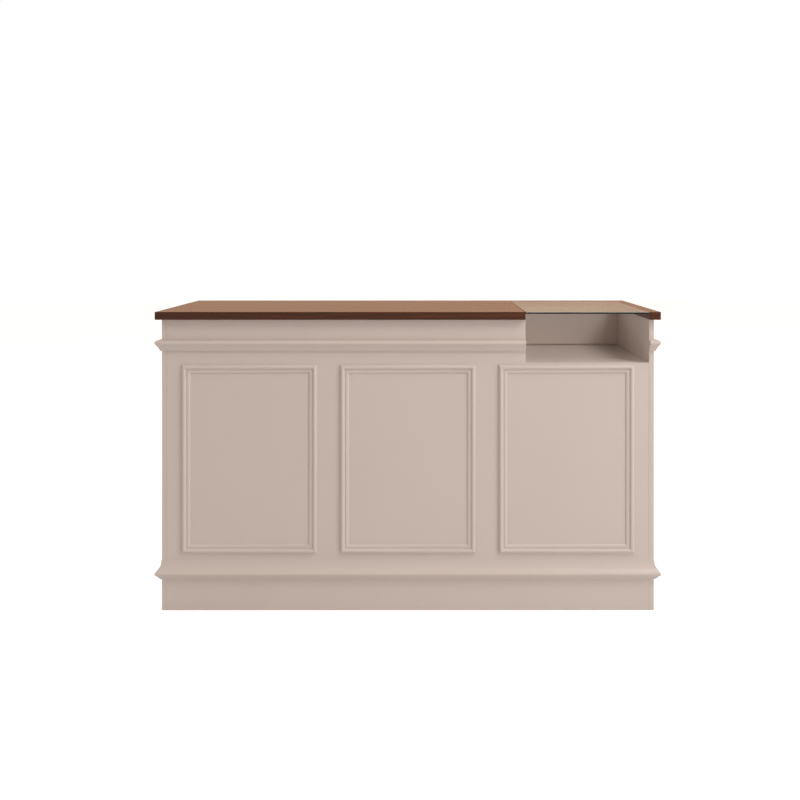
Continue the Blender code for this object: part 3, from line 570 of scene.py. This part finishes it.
@functools.cache
def silicone():
    """Clear silicone rubber, slightly cloudy from the mould."""
    made, tree, shader, place = new_material("moulded_clear_silicone")
    cloud = add(tree, "ShaderNodeTexNoise", {"Vector": place, "Scale": 700.0, "Detail": 2.0})
    rough = add(
        tree,
        "ShaderNodeMapRange",
        {"Value": cloud.outputs[0], "From Min": 0.3, "From Max": 0.7, "To Min": 0.35, "To Max": 0.5},
    )
    plug_in(shader, {
        "Base Color": rgba("#E6E6E2"),
        "Roughness": rough.outputs[0],
        "IOR": 1.41,
        "Transmission Weight": 0.6,
    })
    return made


# The finish of each of the record's material slots.
FINISHES = {
    "cream_painted_board": satin_lacquer,
    "white_melamine_board": melamine,
    "oiled_walnut": oiled_walnut,
    "clear_glass": polished_glass,
    "brushed_steel": zinc_steel,
    "brushed_brass": brushed_brass,
}


# ---------------------------------------------------------------- pieces


class COUNTER_OT_boards(bpy.types.Operator):
    """Finish the frame's own boards and fittings: sanded arrises and the real finish of each"""

    bl_idname = "counter.boards"
    bl_label = "Boards"

    def execute(self, context):
        arris = context.scene.counter_sizes.board_arris
        for entry in frame["record"]["subparts"]:
            node = frame["nodes"][entry["node"]]
            slot = entry["material_slot"]
            for material_slot in node.material_slots:
                material_slot.material = FINISHES[slot]()
            if slot not in ("cream_painted_board", "white_melamine_board"):
                continue
            weld = node.modifiers.new("one skin", "WELD")
            weld.merge_threshold = 0.00001
            sand = node.modifiers.new("sanded arris", "BEVEL")
            sand.width = arris
            sand.segments = 3
            sand.limit_method = "ANGLE"
            sand.harden_normals = True
        return {"FINISHED"}


class COUNTER_OT_top(bpy.types.Operator):
    """Draw the walnut top, notched for the glass, with rounded edges"""

    bl_idname = "counter.top"
    bl_label = "Walnut top"

    def execute(self, context):
        sizes = context.scene.counter_sizes
        low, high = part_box("countertop")
        glass_low, glass_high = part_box("display_glass")
        left, right = glass_low.x - sizes.glass_gap, glass_high.x + sizes.glass_gap
        back = glass_high.y + sizes.glass_gap
        corners = [
            (low.x, low.y),
            (left, low.y),
            (left, back),
            (right, back),
            (right, low.y),
            (high.x, low.y),
            (high.x, high.y),
            (low.x, high.y),
        ]
        small = sizes.top_arris * 1.05
        radii = [sizes.top_corner, small, small, small, small, *[sizes.top_corner] * 3]
        outline = round_corners(corners, radii)
        rings = soft_edged(outline, low.z, high.z, sizes.top_arris)
        piece("walnut_top", rings, "carcass", "oiled_walnut", ["countertop"])
        return {"FINISHED"}


class COUNTER_OT_glass(bpy.types.Operator):
    """Draw the flush glass and the sleeved pegs that it lies on"""

    bl_idname = "counter.glass"
    bl_label = "Glass and pegs"

    def execute(self, context):
        sizes = context.scene.counter_sizes
        low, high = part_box("display_glass")
        corners = [(low.x, low.y), (high.x, low.y), (high.x, high.y), (low.x, high.y)]
        outline = round_corners(corners, 1.5 * MM)
        rings = soft_edged(outline, low.z, high.z, sizes.glass_arris, 3)
        sheet = piece("recess_glass", rings, "carcass", "clear_glass", ["display_glass"])
        sheet.data.materials.append(glass_edge_painted_dark())
        sheet.data.materials.append(ground_arris_painted_highlight())
        normals = np.empty((len(sheet.data.polygons), 3), np.float32)
        sheet.data.polygons.foreach_get("normal", normals.ravel())
        slope = abs(normals[:, 2])
        # The upper faces of the front arris get the pale ground finish, which is partly a painted highlight.
        # The other edge faces get the nearly black edge, whose dark is painted shade.
        front_arris_painted_highlight = (slope < 0.95) & (normals[:, 1] < -0.3) & (normals[:, 2] > 0.2)
        finish = np.select([front_arris_painted_highlight, slope < 0.95], [2, 1], 0).astype(np.int32)
        sheet.data.polygons.foreach_set("material_index", finish)
        for side in ("left", "right"):
            for place in ("front", "back"):
                self.peg(f"glass_peg_{side}_{place}", 1 if side == "left" else -1)
        return {"FINISHED"}

    def peg(self, node, inward):
        """A turned pin with a rounded nose, and a rubber sleeve on the part that carries the glass."""
        low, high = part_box(node)
        radius, length = (high.z - low.z) / 2, high.x - low.x
        start = low.x if inward > 0 else high.x
        nose = 0.8 * MM
        tip = [(radius - nose + nose * c, length - nose + nose * s) for c, s in arc(90, 0, 4)]
        middle = ((low.y + high.y) / 2, (low.z + high.z) / 2)
        axes = {"x_axis": (0, 1, 0), "y_axis": (0, 0, 1), "z_axis": (inward, 0, 0)}
        rubber = 0.6 * MM
        core = [(0, length), *[(r - rubber, h) for r, h in tip], (radius - rubber, 0), (0, 0)]
        rings = at(turned(core, 24), (start, *middle), **axes)
        piece(node + "_pin", rings, "carcass", "brushed_steel", [node], loop=True)
        start_of_sleeve, end_of_sleeve, ease = 12.3 * MM, length - 1.2 * MM, 0.4 * MM
        sleeve = [
            (radius - rubber, end_of_sleeve),
            (radius - ease / 2, end_of_sleeve),
            (radius, end_of_sleeve - ease),
            (radius, start_of_sleeve),
            (radius - rubber, start_of_sleeve),
        ]
        rings = at(turned(sleeve, 24), (start, *middle), **axes)
        piece(node + "_sleeve", rings, "carcass", "clear_glass", loop=True, finish=silicone())


def crown_profile():
    """(out, up) from the crown's foot: a fillet, a shallow cove, a rounded nose and a nearly flat top."""
    low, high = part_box("crown_front")
    reach, height = high.y - low.y, high.z - low.z
    fillet, ease, under, over = 5.0 * MM, 0.7 * MM, 2.0 * MM, 6.0 * MM
    step = arc(-90, 0, 3) * ease + (fillet - ease, ease)
    # The cove hangs like a shallow curve between its foot and the nose: out runs from 5.2 to 16.0 mm, and
    # up leads it by 1.6 mm times the sine of half a turn.
    t = np.linspace(0, 1, 13)
    cove = np.column_stack([5.2 + 10.8 * t, 3.8 + 17.9 * t + 1.6 * np.sin(math.pi * t)]) * MM
    lower = arc(-50, 0, 5) * under + (reach - under, 23.5 * MM)
    upper = arc(0, 86, 12) * over + (reach - over, height - 1.0 * MM - over)
    return np.vstack([(0, 0), step, cove, lower, upper, (0, height)])


def base_profile():
    """(out, up) from the base moulding's foot: a hollow slope, a rounded nose and a long cove."""
    low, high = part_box("base_moulding_front")
    reach, height = high.y - low.y, high.z - low.z
    # Under the nose, out and up grow together from the wall, and up lags by 1 mm times the sine of half a
    # turn.
    t = np.linspace(0, 1, 9)
    under = np.column_stack([1.0 + 11.5 * t, 0.3 + 14.2 * t - 1.0 * np.sin(math.pi * t)]) * MM
    tip = arc(-62, 66, 18) * (4.6 * MM, 6.6 * MM) + (reach - 4.6 * MM, 22.0 * MM)
    out, up = tip[-1]
    lip, rise = 1.2 * MM, height - 2.0 * MM - up
    cove = arc(-102, -180, 18)
    cove = (cove - cove[-1]) / (cove[0] - cove[-1]) * (out - lip, -rise) + (lip, up + rise)
    top = [(0.8 * MM, height - 0.6 * MM), (0, height)]
    return np.vstack([(0, 0), (0.6 * MM, 0), under, tip, cove[1:], top])


def frame_profile():
    """(out, across) of a panel frame, across counted inward from its outer edge: a low quirk, a bold
    half-round, a narrow groove, and a small bead that falls away to the panel."""
    foot, bead, middle = 2.2, 6.0, 8.6
    outer = np.array([(0, 0), (1.7, 0.4), (2.3, 1.1), (2.6, 2.4)])
    big = arc(-68, 68, 24) * bead + (foot, middle)
    groove = np.array([(3.6, 15.1), (3.0, 16.5), (2.9, 17.2), (3.5, 18.0)])
    small = np.array([(4.1, 18.9), (4.3, 20.0), (4.1, 21.6), (3.7, 23.2), (3.0, 24.8), (2.2, 26.2)])
    inner = np.array([(1.4, 27.3), (0.5, 28.0), (0, 28.5)])
    return np.vstack([outer, big, groove, small, inner]) * MM


def moulding(name, profile, out, left, right, mitre_left=False, mitre_right=False):
    """A stick from left to right as seen by someone who faces it. A point of the profile that stands out by
    d slides outward by d along the stick at a mitred end, so the end is cut at 45 degrees."""
    out, left, right = (np.asarray(v, float) for v in (out, left, right))
    along = (right - left) / np.linalg.norm(right - left)
    section = np.outer(profile[:, 0], out) + np.outer(profile[:, 1], (0, 0, 1))
    slide = np.outer(profile[:, 0], along)
    rings = np.stack([left + section - mitre_left * slide, right + section + mitre_right * slide])
    return piece(name + "_moulding", rings, "carcass", "cream_painted_board", [name])


class COUNTER_OT_mouldings(bpy.types.Operator):
    """Draw the crown and the base moulding round the front and the sides"""

    bl_idname = "counter.mouldings"
    bl_label = "Crown and base"

    def execute(self, context):
        to_customer, to_left, to_right = (0, -1, 0), (-1, 0, 0), (1, 0, 0)
        for kind, profile in (("crown", crown_profile()), ("base_moulding", base_profile())):
            low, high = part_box(kind + "_front")
            side_low, side_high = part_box(kind + "_right")
            wall, front, back, z = side_low.x, high.y, side_high.y, low.z
            gap = 0.2 * MM
            left_end, right_end = (-wall + gap, front, z), (wall - gap, front, z)
            if kind == "crown":
                moulding("crown_front", profile, to_customer, left_end, (high.x, front, z), True)
                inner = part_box("crown_return")[0].x
                moulding("crown_return", profile, to_customer, (inner, front, z), right_end, False, True)
            else:
                moulding("base_moulding_front", profile, to_customer, left_end, right_end, True, True)
            moulding(kind + "_left", profile, to_left, (-wall, back, z), (-wall, front, z), False, True)
            moulding(kind + "_right", profile, to_right, (wall, front, z), (wall, back, z), True)
        return {"FINISHED"}


class COUNTER_OT_frames(bpy.types.Operator):
    """Draw the mitred panel frames on the front and the sides"""

    bl_idname = "counter.frames"
    bl_label = "Panel frames"

    def execute(self, context):
        for place in ("left", "center", "right"):
            self.panel_frame(f"panel_frame_{place}", (0, -1, 0), (1, 0, 0))
        self.panel_frame("side_frame_left", (-1, 0, 0), (0, -1, 0))
        self.panel_frame("side_frame_right", (1, 0, 0), (0, 1, 0))
        return {"FINISHED"}

    def panel_frame(self, node, out, along):
        """The profile stands at each of four corners, as far in from the corner as it is across, and the
        sides between the corners close into a loop."""
        low, high = (np.array(corner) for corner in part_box(node))
        out, along = np.array(out, float), np.array(along, float)
        profile = frame_profile()
        half_width = abs((high - low) @ along) / 2 - profile[:, 1]
        half_height = (high[2] - low[2]) / 2 - profile[:, 1]
        wall = (low + high) / 2 - out * abs((high - low) @ out) / 2
        signs = np.array([(-1, -1), (1, -1), (1, 1), (-1, 1)])
        rings = (
            wall
            + profile[None, :, :1] * out
            + signs[:, None, :1] * half_width[None, :, None] * along
            + signs[:, None, 1:] * half_height[None, :, None] * (0, 0, 1)
        )
        piece(node + "_moulding", rings, "carcass", "cream_painted_board", [node], loop=True)


def knob_profile(reach, radius):
    """(radius, height) from the middle of the face to the foot: a shallow dome, a rounded rim, a waisted
    neck and a stepped foot."""
    rim = 2.2 * MM
    dome_rise = 2.0 * MM
    dome = arc(90, 0, 10) * (radius - rim, dome_rise)
    dome[:, 1] += reach - dome_rise
    edge = arc(80, -90, 12) * rim + (radius - rim, reach - dome_rise - rim)
    neck = arc(90, 180, 8) * (3.6 * MM, 9.0 * MM)
    neck = np.column_stack([8.2 * MM + neck[:, 0], 4.0 * MM + neck[:, 1]])
    foot = [(6.0 * MM, 3.0 * MM), (6.8 * MM, 2.2 * MM), (7.0 * MM, 0.4 * MM), (6.8 * MM, 0), (0, 0)]
    return np.vstack([dome, edge, neck, foot])


class COUNTER_OT_knobs(bpy.types.Operator):
    """Draw the turned brass knobs of the two doors"""

    bl_idname = "counter.knobs"
    bl_label = "Knobs"

    def execute(self, context):
        for side in ("left", "right"):
            node = f"door_{side}_knob"
            low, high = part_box(node)
            middle = ((low.x + high.x) / 2, low.y, (low.z + high.z) / 2)
            profile = knob_profile(high.y - low.y, (high.x - low.x) / 2)
            rings = at(turned(profile, 64), middle, *TURNED_OUT)
            piece(f"{side}_door_knob", rings, f"{side}_door", "brushed_brass", [node], True)
        return {"FINISHED"}


class COUNTER_OT_handle(bpy.types.Operator):
    """Draw the drawer's bow handle and the roses at its feet"""

    bl_idname = "counter.handle"
    bl_label = "Drawer handle"

    def execute(self, context):
        low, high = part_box("drawer_handle")
        radius = (high.z - low.z) / 2
        bend, sides = 8 * MM, 32
        x_left, x_right = low.x + radius, high.x - radius
        bar, foot, z = high.y - radius, low.y, (low.z + high.z) / 2
        right = arc(0, 90, 12) * bend + (x_right - bend, bar - bend)
        left = arc(90, 180, 12) * bend + (x_left + bend, bar - bend)
        path = np.vstack([(x_right, foot), (x_right, foot + 4 * MM), right, left, (x_left, foot + 4 * MM),
                          (x_left, foot)])
        # A circle is carried along the path, square to it: its points are the path plus the radius times
        # the cosine along the path's normal and the sine along Z.
        normal = np.column_stack([sideways(path), np.zeros(len(path))])
        around = circle(sides) * radius
        centre = np.column_stack([path, np.full(len(path), z)])
        rings = (
            centre[:, None]
            + around[None, :, :1] * normal[:, None]
            + around[None, :, 1:] * np.array([0, 0, 1.0])
        )
        piece("drawer_bow_handle", rings, "cash_drawer", "brushed_brass", ["drawer_handle"])
        thick, wide = 1.6 * MM, 7.0 * MM
        edge = arc(90, 0, 5) * 0.8 * MM + (wide - 0.8 * MM, thick - 0.8 * MM)
        profile = np.vstack([(0, thick), edge, (wide, 0), (0, 0)])
        feet = [at(turned(profile, 40), (x, foot, z), *TURNED_OUT) for x in (x_left, x_right)]
        piece("handle_roses", feet, "cash_drawer", "brushed_brass", loop=True)
        return {"FINISHED"}


class COUNTER_OT_lock(bpy.types.Operator):
    """Draw the cam lock: flanged housing, slotted plug, cam, strike and key"""

    bl_idname = "counter.lock"
    bl_label = "Cam lock"

    SIDES = 64

    def execute(self, context):
        self.housing()
        self.plug()
        self.cam()
        self.key()
        return {"FINISHED"}

    def housing(self):
        """A turned tube with a rounded flange."""
        low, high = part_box("lock_housing")
        middle = ((low.x + high.x) / 2, high.y, (low.z + high.z) / 2)
        flange = (high.x - low.x) / 2
        bore, body, thick, ease = 6.4 * MM, 9.5 * MM, 2.0 * MM, 1.1 * MM
        edge = arc(90, 0, 6) * ease + (flange - ease, -ease)
        depth = high.y - low.y
        profile = np.vstack(
            [(bore, -0.3 * MM), (bore + 0.3 * MM, 0), edge, (flange, -thick), (body, -thick), (body, -depth),
             (bore, -depth)]
        )
        rings = at(turned(profile, self.SIDES), middle, *TURNED_OUT)
        piece("lock_body", rings, "cash_drawer", "brushed_steel", ["lock_housing"], True)

    def plug(self):
        """A core with a key slot. Each ring has a point on every ray from the axis: round outlines give the
        sides, and the slot's outline is the nearer of its two pairs of walls along the ray."""
        low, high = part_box("lock_plug")
        key_low, key_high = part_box("key")
        middle = ((low.x + high.x) / 2, high.y, (low.z + high.z) / 2)
        radius, play, ease = (high.x - low.x) / 2, 0.4 * MM, 0.5 * MM
        blade = 3.8 * MM
        wide, tall = blade + play, (key_high.z - key_low.z) / 2 + play
        rays = circle(self.SIDES)
        across, along = np.maximum(abs(rays), 1e-9).T
        reach = np.minimum(wide / across, tall / along)
        slot = rays * reach[:, None]
        depth, plug_end = 15.4 * MM, 24.6 * MM
        layers = [
            (slot, -depth),
            (slot, -0.3 * MM),
            (slot * 1.06, 0),
            (rays * (radius - ease), 0),
            (rays * radius, -ease),
            (rays * radius, -plug_end),
            (rays * 3.0 * MM, -plug_end),
            (rays * 3.0 * MM, low.y - high.y + 0.3 * MM),
            (rays * 2.7 * MM, low.y - high.y),
        ]
        rings = at(stacked(layers), middle, *ON_FACE)
        piece("lock_core", rings, "lock", "brushed_steel", ["lock_plug"])

    def cam(self):
        """A bar with round ends. Each ring is the outline that a ray from the stud's axis meets."""
        low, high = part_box("lock_cam")
        half = (high.z - low.z) / 2
        axis = (low.x + half, low.y, (low.z + high.z) / 2)
        reach = high.x - low.x - 2 * half
        outline = np.vstack([arc(-90, 90, 20) * half + (reach, 0), arc(90, 270, 20) * half])
        angles = np.arctan2(outline[:, 1], outline[:, 0])
        hole = np.column_stack([np.cos(angles), np.sin(angles)]) * 3.3 * MM
        rings = at(pierced(outline, hole, high.y - low.y, 0.3 * MM), axis, *ON_FACE)
        piece("lock_tongue", rings, "lock", "brushed_steel", ["lock_cam"], True)

    def key(self):
        """A flat key with a round bow, a ring hole and soft edges, cut to shape on rays from the hole."""
        low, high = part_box("key")
        bow, half, tip = 8.5 * MM, 3.8 * MM, 2.0 * MM
        middle_x = (low.x + high.x) / 2
        hole_y, centre_y = high.y - bow / 2, high.y - bow
        opening = math.degrees(math.asin(half / bow))
        head = arc(opening - 90, 270 - opening, 36) * bow + (0, centre_y)
        foot = [(-half, low.y + tip), (tip - half, low.y), (half - tip, low.y), (half, low.y + tip)]
        outline = np.vstack([head, foot])
        away = outline - (0, hole_y)
        hole = away / np.linalg.norm(away, axis=1, keepdims=True) * 2.0 * MM + (0, hole_y)
        rings = at(pierced(outline, hole, high.z - low.z, 0.35 * MM), (middle_x, 0, low.z))
        piece("brass_key", rings, "lock", "brushed_brass", ["key"], True)


def strip(path, gauge):
    """A closed outline round a bent strip: the path moved by half the gauge to each side of it."""
    side = sideways(path) * gauge / 2
    return np.vstack([path + side, (path - side)[::-1]])


def bent_channel(depth, height, gauge):
    """A C section of sheet metal with rounded bends: (in, up) from the web's outer face at mid-height."""
    bend = 1.2 * gauge + 0.5 * MM
    line, half = gauge / 2, (height - gauge) / 2
    lower = arc(270, 180, 6) * bend + (line + bend, bend - half)
    upper = arc(180, 90, 6) * bend + (line + bend, half - bend)
    return strip(np.vstack([(depth, -half), lower, upper, (depth, half)]), gauge)


class COUNTER_OT_slides(bpy.types.Operator):
    """Draw the drawer slides, their ball rows and the tray's runners in bent sheet steel"""

    bl_idname = "counter.slides"
    bl_label = "Slides and runners"

    def execute(self, context):
        bodies = {"outer": "carcass", "middle": "drawer_slides", "inner": "cash_drawer"}
        for side, inward in (("left", 1), ("right", -1)):
            for part, body in bodies.items():
                facing = -inward if part == "inner" else inward
                self.channel(f"drawer_slide_{side}_{part}", 1.0 * MM, facing, body)
            self.channel(f"tray_runner_{side}", 1.5 * MM, inward, "carcass")
        return {"FINISHED"}

    def channel(self, node, gauge, facing, body):
        low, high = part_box(node)
        section = bent_channel(high.x - low.x, high.z - low.z, gauge)
        web = low.x if facing > 0 else high.x
        place = (web, 0, (low.z + high.z) / 2)
        rings = stacked([(section, low.y), (section, high.y)])
        rings = at(rings, place, (facing, 0, 0), (0, 0, 1), (0, 1, 0))
        piece(node + "_rail", rings, body, "brushed_steel", [node])


def screw_rings(radius, proud):
    """Rings of a countersunk head seen from above local Z: a shallow dome with a cross recess. The radius of
    the recess follows the fourth power of the cosine of twice the angle, which makes four arms."""
    sides = 32
    rays = circle(sides)
    angles = np.arctan2(rays[:, 1], rays[:, 0])
    arms = (0.18 + 0.36 * np.cos(2 * angles) ** 4)[:, None]
    layers = [
        (rays * radius, -0.5 * proud),
        (rays * radius * 0.98, 0.35 * proud),
        (rays * radius * 0.86, 0.8 * proud),
        (rays * radius * arms * 1.35, proud),
        (rays * radius * arms * 1.15, -0.1 * proud),
    ]
    return stacked(layers)


class COUNTER_OT_hinges(bpy.types.Operator):
    """Draw the continuous hinges of the doors: combed leaves and rolled knuckles"""

    bl_idname = "counter.hinges"
    bl_label = "Hinges"

    KNUCKLES = 9
    PLAY = 0.4 * MM
    LEAF_OFFSET = 0.6 * MM

    def execute(self, context):
        for side, hung in (("left", -1), ("right", 1)):
            self.leaf(f"door_{side}_hinge_cabinet_leaf", f"{side}_cabinet_leaf", "carcass", hung, 0)
            self.leaf(f"door_{side}_hinge_door_leaf", f"{side}_door_leaf", f"{side}_door", -hung, 1)
        return {"FINISHED"}

    def leaf(self, node, name, body, side, first):
        """A plate whose teeth reach to its own knuckles, every second one from first on, and stop short of
        the others. The knuckles are turned about the hinge's line, with eased ends."""
        low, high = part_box(node)
        radius, gauge, bore = (high.x - low.x) / 2, 0.7 * MM, 1.1 * MM
        axis_x, axis_y = (low.x + high.x) / 2, high.y - radius
        each = (high.z - low.z - (self.KNUCKLES - 1) * self.PLAY) / self.KNUCKLES
        starts = low.z + (each + self.PLAY) * np.arange(self.KNUCKLES)
        own = np.arange(self.KNUCKLES) % 2 == first
        edge = np.where(own, axis_y - (radius + bore) / 2, axis_y - radius - 0.4 * MM)
        slack = np.where(own, self.PLAY, -self.PLAY)
        below, above = starts + slack, starts + each - slack
        below[0], above[-1] = low.z, high.z
        teeth = np.stack([np.column_stack([edge, below]), np.column_stack([edge, above])], axis=1)
        outline = np.vstack([(low.y, high.z), (low.y, low.z), teeth.reshape(-1, 2)])
        rings = soft_edged(outline, -gauge / 2, gauge / 2, 0.12 * MM, 2)
        rings = at(rings, (axis_x + side * self.LEAF_OFFSET, 0, 0), *ALONG_X)
        piece(name, rings, body, "brushed_brass", [node])
        ease = 0.35 * MM
        wall = [(radius - ease, 0), (radius, ease), (radius, each - ease), (radius - ease, each)]
        profile = [(bore, 0), *wall, (bore, each)] if first else [(0, 0), *wall, (0, each)]
        shells = [at(turned(profile, 32), (axis_x, axis_y, z)) for z in starts[own]]
        piece(name + "_knuckles", shells, body, "brushed_brass", loop=True)


class COUNTER_OT_strike(bpy.types.Operator):
    """Draw the lock's strike: an angle of sheet steel with a rounded bend"""

    bl_idname = "counter.strike"
    bl_label = "Strike"

    def execute(self, context):
        low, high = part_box("lock_strike")
        gauge, bend = 1.5 * MM, 2.0 * MM
        y, z = high.y - gauge / 2, high.z - gauge / 2
        corner = arc(90, 0, 8) * bend + (y - bend, z - bend)
        outline = strip(np.vstack([(low.y, z), corner, (y, low.z)]), gauge)
        rings = at(stacked([(outline, low.x), (outline, high.x)]), (0, 0, 0), *ALONG_X)
        piece("lock_strike_angle", rings, "carcass", "brushed_steel", ["lock_strike"])
        return {"FINISHED"}


class COUNTER_OT_screws(bpy.types.Operator):
    """Draw the countersunk screws of the hinges and the strike"""

    bl_idname = "counter.screws"
    bl_label = "Screws"

    def execute(self, context):
        count = context.scene.counter_sizes.hinge_screws
        head, proud = 2.6 * MM, 0.12 * MM
        for side, hung in (("left", -1), ("right", 1)):
            for leaf, facing, body in (("cabinet", -hung, "carcass"), ("door", hung, f"{side}_door")):
                low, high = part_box(f"door_{side}_hinge_{leaf}_leaf")
                axis_x = (low.x + high.x) / 2
                face = axis_x - facing * 0.25 * MM
                y = low.y + 6.5 * MM
                step = (high.z - low.z) / count
                heights = low.z + step * (np.arange(count) + 0.5)
                shells = [
                    at(screw_rings(head, proud), (face, y, z), (0, 1, 0), (0, 0, 1), (facing, 0, 0))
                    for z in heights
                ]
                piece(f"{side}_{leaf}_leaf_screws", shells, body, "brushed_brass")
        low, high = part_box("lock_strike")
        y, z = low.y + 8 * MM, high.z - 1.5 * MM
        shells = [
            at(screw_rings(head, 0.5 * MM), (x, y, z), (1, 0, 0), (0, -1, 0), (0, 0, -1))
            for x in (low.x + 7 * MM, high.x - 7 * MM)
        ]
        piece("strike_screws", shells, "carcass", "brushed_steel")
        return {"FINISHED"}


class COUNTER_OT_bumpers(bpy.types.Operator):
    """Draw the small clear domes on the shelf edges that the doors close against"""

    bl_idname = "counter.bumpers"
    bl_label = "Door bumpers"

    def execute(self, context):
        radius, rise = 4.0 * MM, 0.8 * MM
        profile = np.vstack([arc(90, 0, 8) * (radius, rise), (0, 0)])
        for side in ("left", "right"):
            low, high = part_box(f"shelf_{side}")
            z = (low.z + high.z) / 2
            from_end = 25 * MM
            shells = [
                at(turned(profile, 24), (x, high.y, z), *TURNED_OUT)
                for x in (low.x + from_end, high.x - from_end)
            ]
            piece(f"{side}_door_bumpers", shells, "carcass", "clear_glass", loop=True, finish=silicone())
        return {"FINISHED"}


# Name, place, target, size, watts, and whether it is mirrored: one above the customer's right, weak ones
# low in front and from the right, and one high behind for the staff side.
SOFT_BOXES = (
    ("key_light", (3.05, -2.13, 4.6), (0.2, -0.2, 0.6), 2.0, 136.0, True),
    ("front_fill", (1.0, -4.9, 0.6), (0.0, -0.25, 0.2), 2.4, 6.0, False),
    ("side_fill", (4.6, -2.9, 0.9), (0.0, -0.25, 0.4), 1.2, 36.0, True),
    ("staff_side_fill", (-1.6, 3.6, 3.0), (0.0, 0.2, 0.6), 2.0, 60.0, False),
)


class COUNTER_OT_stage(bpy.types.Operator):
    """Set the plain floor, the soft studio light and the camera"""

    bl_idname = "counter.stage"
    bl_label = "Stage"

    def execute(self, context):
        self.floor()
        self.light()
        self.camera()
        return {"FINISHED"}

    def floor(self):
        """A large flat disc of even pale paper, level with the counter's foot."""
        sides, radius = 96, 14.0
        around = circle(sides) * radius
        mesh = bpy.data.meshes.new("studio_floor")
        mesh.from_pydata(np.column_stack([around, np.zeros(sides)]), [], [list(range(sides))])
        made, tree, shader, place = new_material("floor_paper")
        mottle = add(tree, "ShaderNodeTexNoise", {"Vector": place, "Scale": 3.0, "Detail": 2.0})
        colour = bpy.context.scene.counter_colours.floor
        deeper = rgba(colour, 0.97)
        tone = add(
            tree, "ShaderNodeMix", {0: mottle.outputs[0], 6: rgba(colour), 7: deeper}, data_type="RGBA"
        )
        # Light on the paper is lifted to an even white as seen, and bounces as from a mid-tone floor.
        ray = add(tree, "ShaderNodeLightPath")
        lift = add(tree, "ShaderNodeMath", {0: ray.outputs["Is Camera Ray"], 1: 0.60}, operation="MULTIPLY")
        plug_in(shader, {
            "Base Color": tone.outputs[2],
            "Roughness": 0.9,
            "Emission Strength": lift.outputs[0],
            "Emission Color": (1.0, 1.0, 1.0, 1.0),
            "Specular IOR Level": 0.1,
        })
        mesh.materials.append(made)
        placed("studio_floor", mesh)

    def light(self):
        """Even fill from the room, whose warm walls show in whatever mirrors them, and the soft boxes."""
        world = bpy.data.worlds.new("studio")
        bpy.context.scene.world = world
        world.use_nodes = True
        tree = world.node_tree
        room = tree.nodes["Background"]
        plug_in(room, {"Color": (1.0, 0.91, 0.84, 1.0), "Strength": 0.54})
        walls = add(tree, "ShaderNodeBackground", {"Color": (1.0, 0.69, 0.49, 1.0), "Strength": 0.62})
        paper = add(tree, "ShaderNodeBackground", {"Color": (1.0, 1.0, 1.0, 1.0), "Strength": 1.0})
        ray = add(tree, "ShaderNodeLightPath")
        mirrored = add(
            tree,
            "ShaderNodeMixShader",
            {0: ray.outputs["Is Glossy Ray"], 1: room.outputs[0], 2: walls.outputs[0]},
        )
        seen = add(
            tree,
            "ShaderNodeMixShader",
            {0: ray.outputs["Is Camera Ray"], 1: mirrored.outputs[0], 2: paper.outputs[0]},
        )
        plug_in(tree.nodes["World Output"], {"Surface": seen.outputs[0]})
        for lamp in SOFT_BOXES:
            self.soft_box(*lamp)

    def soft_box(self, name, place, target, size, energy, mirrored):
        """A square lamp that faces its target and shows in the varnish and the glass only if mirrored."""
        data = bpy.data.lights.new(name, "AREA")
        data.shape = "SQUARE"
        data.size = size
        data.energy = energy
        lamp = placed(name, data)
        lamp.visible_glossy = mirrored
        lamp.location = place
        lamp.rotation_euler = (Vector(target) - Vector(place)).to_track_quat("-Z", "Y").to_euler()

    def camera(self):
        """A level camera, square to the front, with its lens shifted down as for a product picture."""
        data = bpy.data.cameras.new("camera")
        data.sensor_width = 36.0
        data.lens = 36.85
        data.shift_x = -0.0319
        data.shift_y = -0.1991
        camera = placed("camera", data)
        camera.location = (0.056, -2.835, 1.175)
        camera.rotation_euler = (math.radians(90), 0.0, 0.0)
        bpy.context.scene.camera = camera
        bpy.context.scene.view_settings.view_transform = "Standard"


# ---------------------------------------------------------------- panel and registration


OPERATORS = (
    COUNTER_OT_boards,
    COUNTER_OT_top,
    COUNTER_OT_glass,
    COUNTER_OT_mouldings,
    COUNTER_OT_frames,
    COUNTER_OT_knobs,
    COUNTER_OT_handle,
    COUNTER_OT_lock,
    COUNTER_OT_slides,
    COUNTER_OT_hinges,
    COUNTER_OT_strike,
    COUNTER_OT_screws,
    COUNTER_OT_bumpers,
    COUNTER_OT_stage,
)


class COUNTER_PT_panel(bpy.types.Panel):
    """Sizes, colours and pieces of the counter"""

    bl_idname = "COUNTER_PT_panel"
    bl_label = "Checkout counter"
    bl_space_type = "VIEW_3D"
    bl_region_type = "UI"
    bl_category = "Counter"

    def draw(self, context):
        for group in (context.scene.counter_sizes, context.scene.counter_colours):
            box = self.layout.box()
            for name in group.__annotations__:
                box.prop(group, name)
        for operator in OPERATORS:
            self.layout.operator(operator.bl_idname)


CLASSES = (CounterColours, CounterSizes, *OPERATORS, COUNTER_PT_panel)


def register():
    for cls in CLASSES:
        bpy.utils.register_class(cls)
    bpy.types.Scene.counter_colours = bpy.props.PointerProperty(type=CounterColours)
    bpy.types.Scene.counter_sizes = bpy.props.PointerProperty(type=CounterSizes)


def unregister():
    del bpy.types.Scene.counter_sizes
    del bpy.types.Scene.counter_colours
    for cls in reversed(CLASSES):
        bpy.utils.unregister_class(cls)


def main():
    """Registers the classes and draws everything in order."""
    register()
    for operator in OPERATORS:
        group, name = operator.bl_idname.split(".")
        getattr(getattr(bpy.ops, group), name)()


if __name__ == "__main__":
    main()
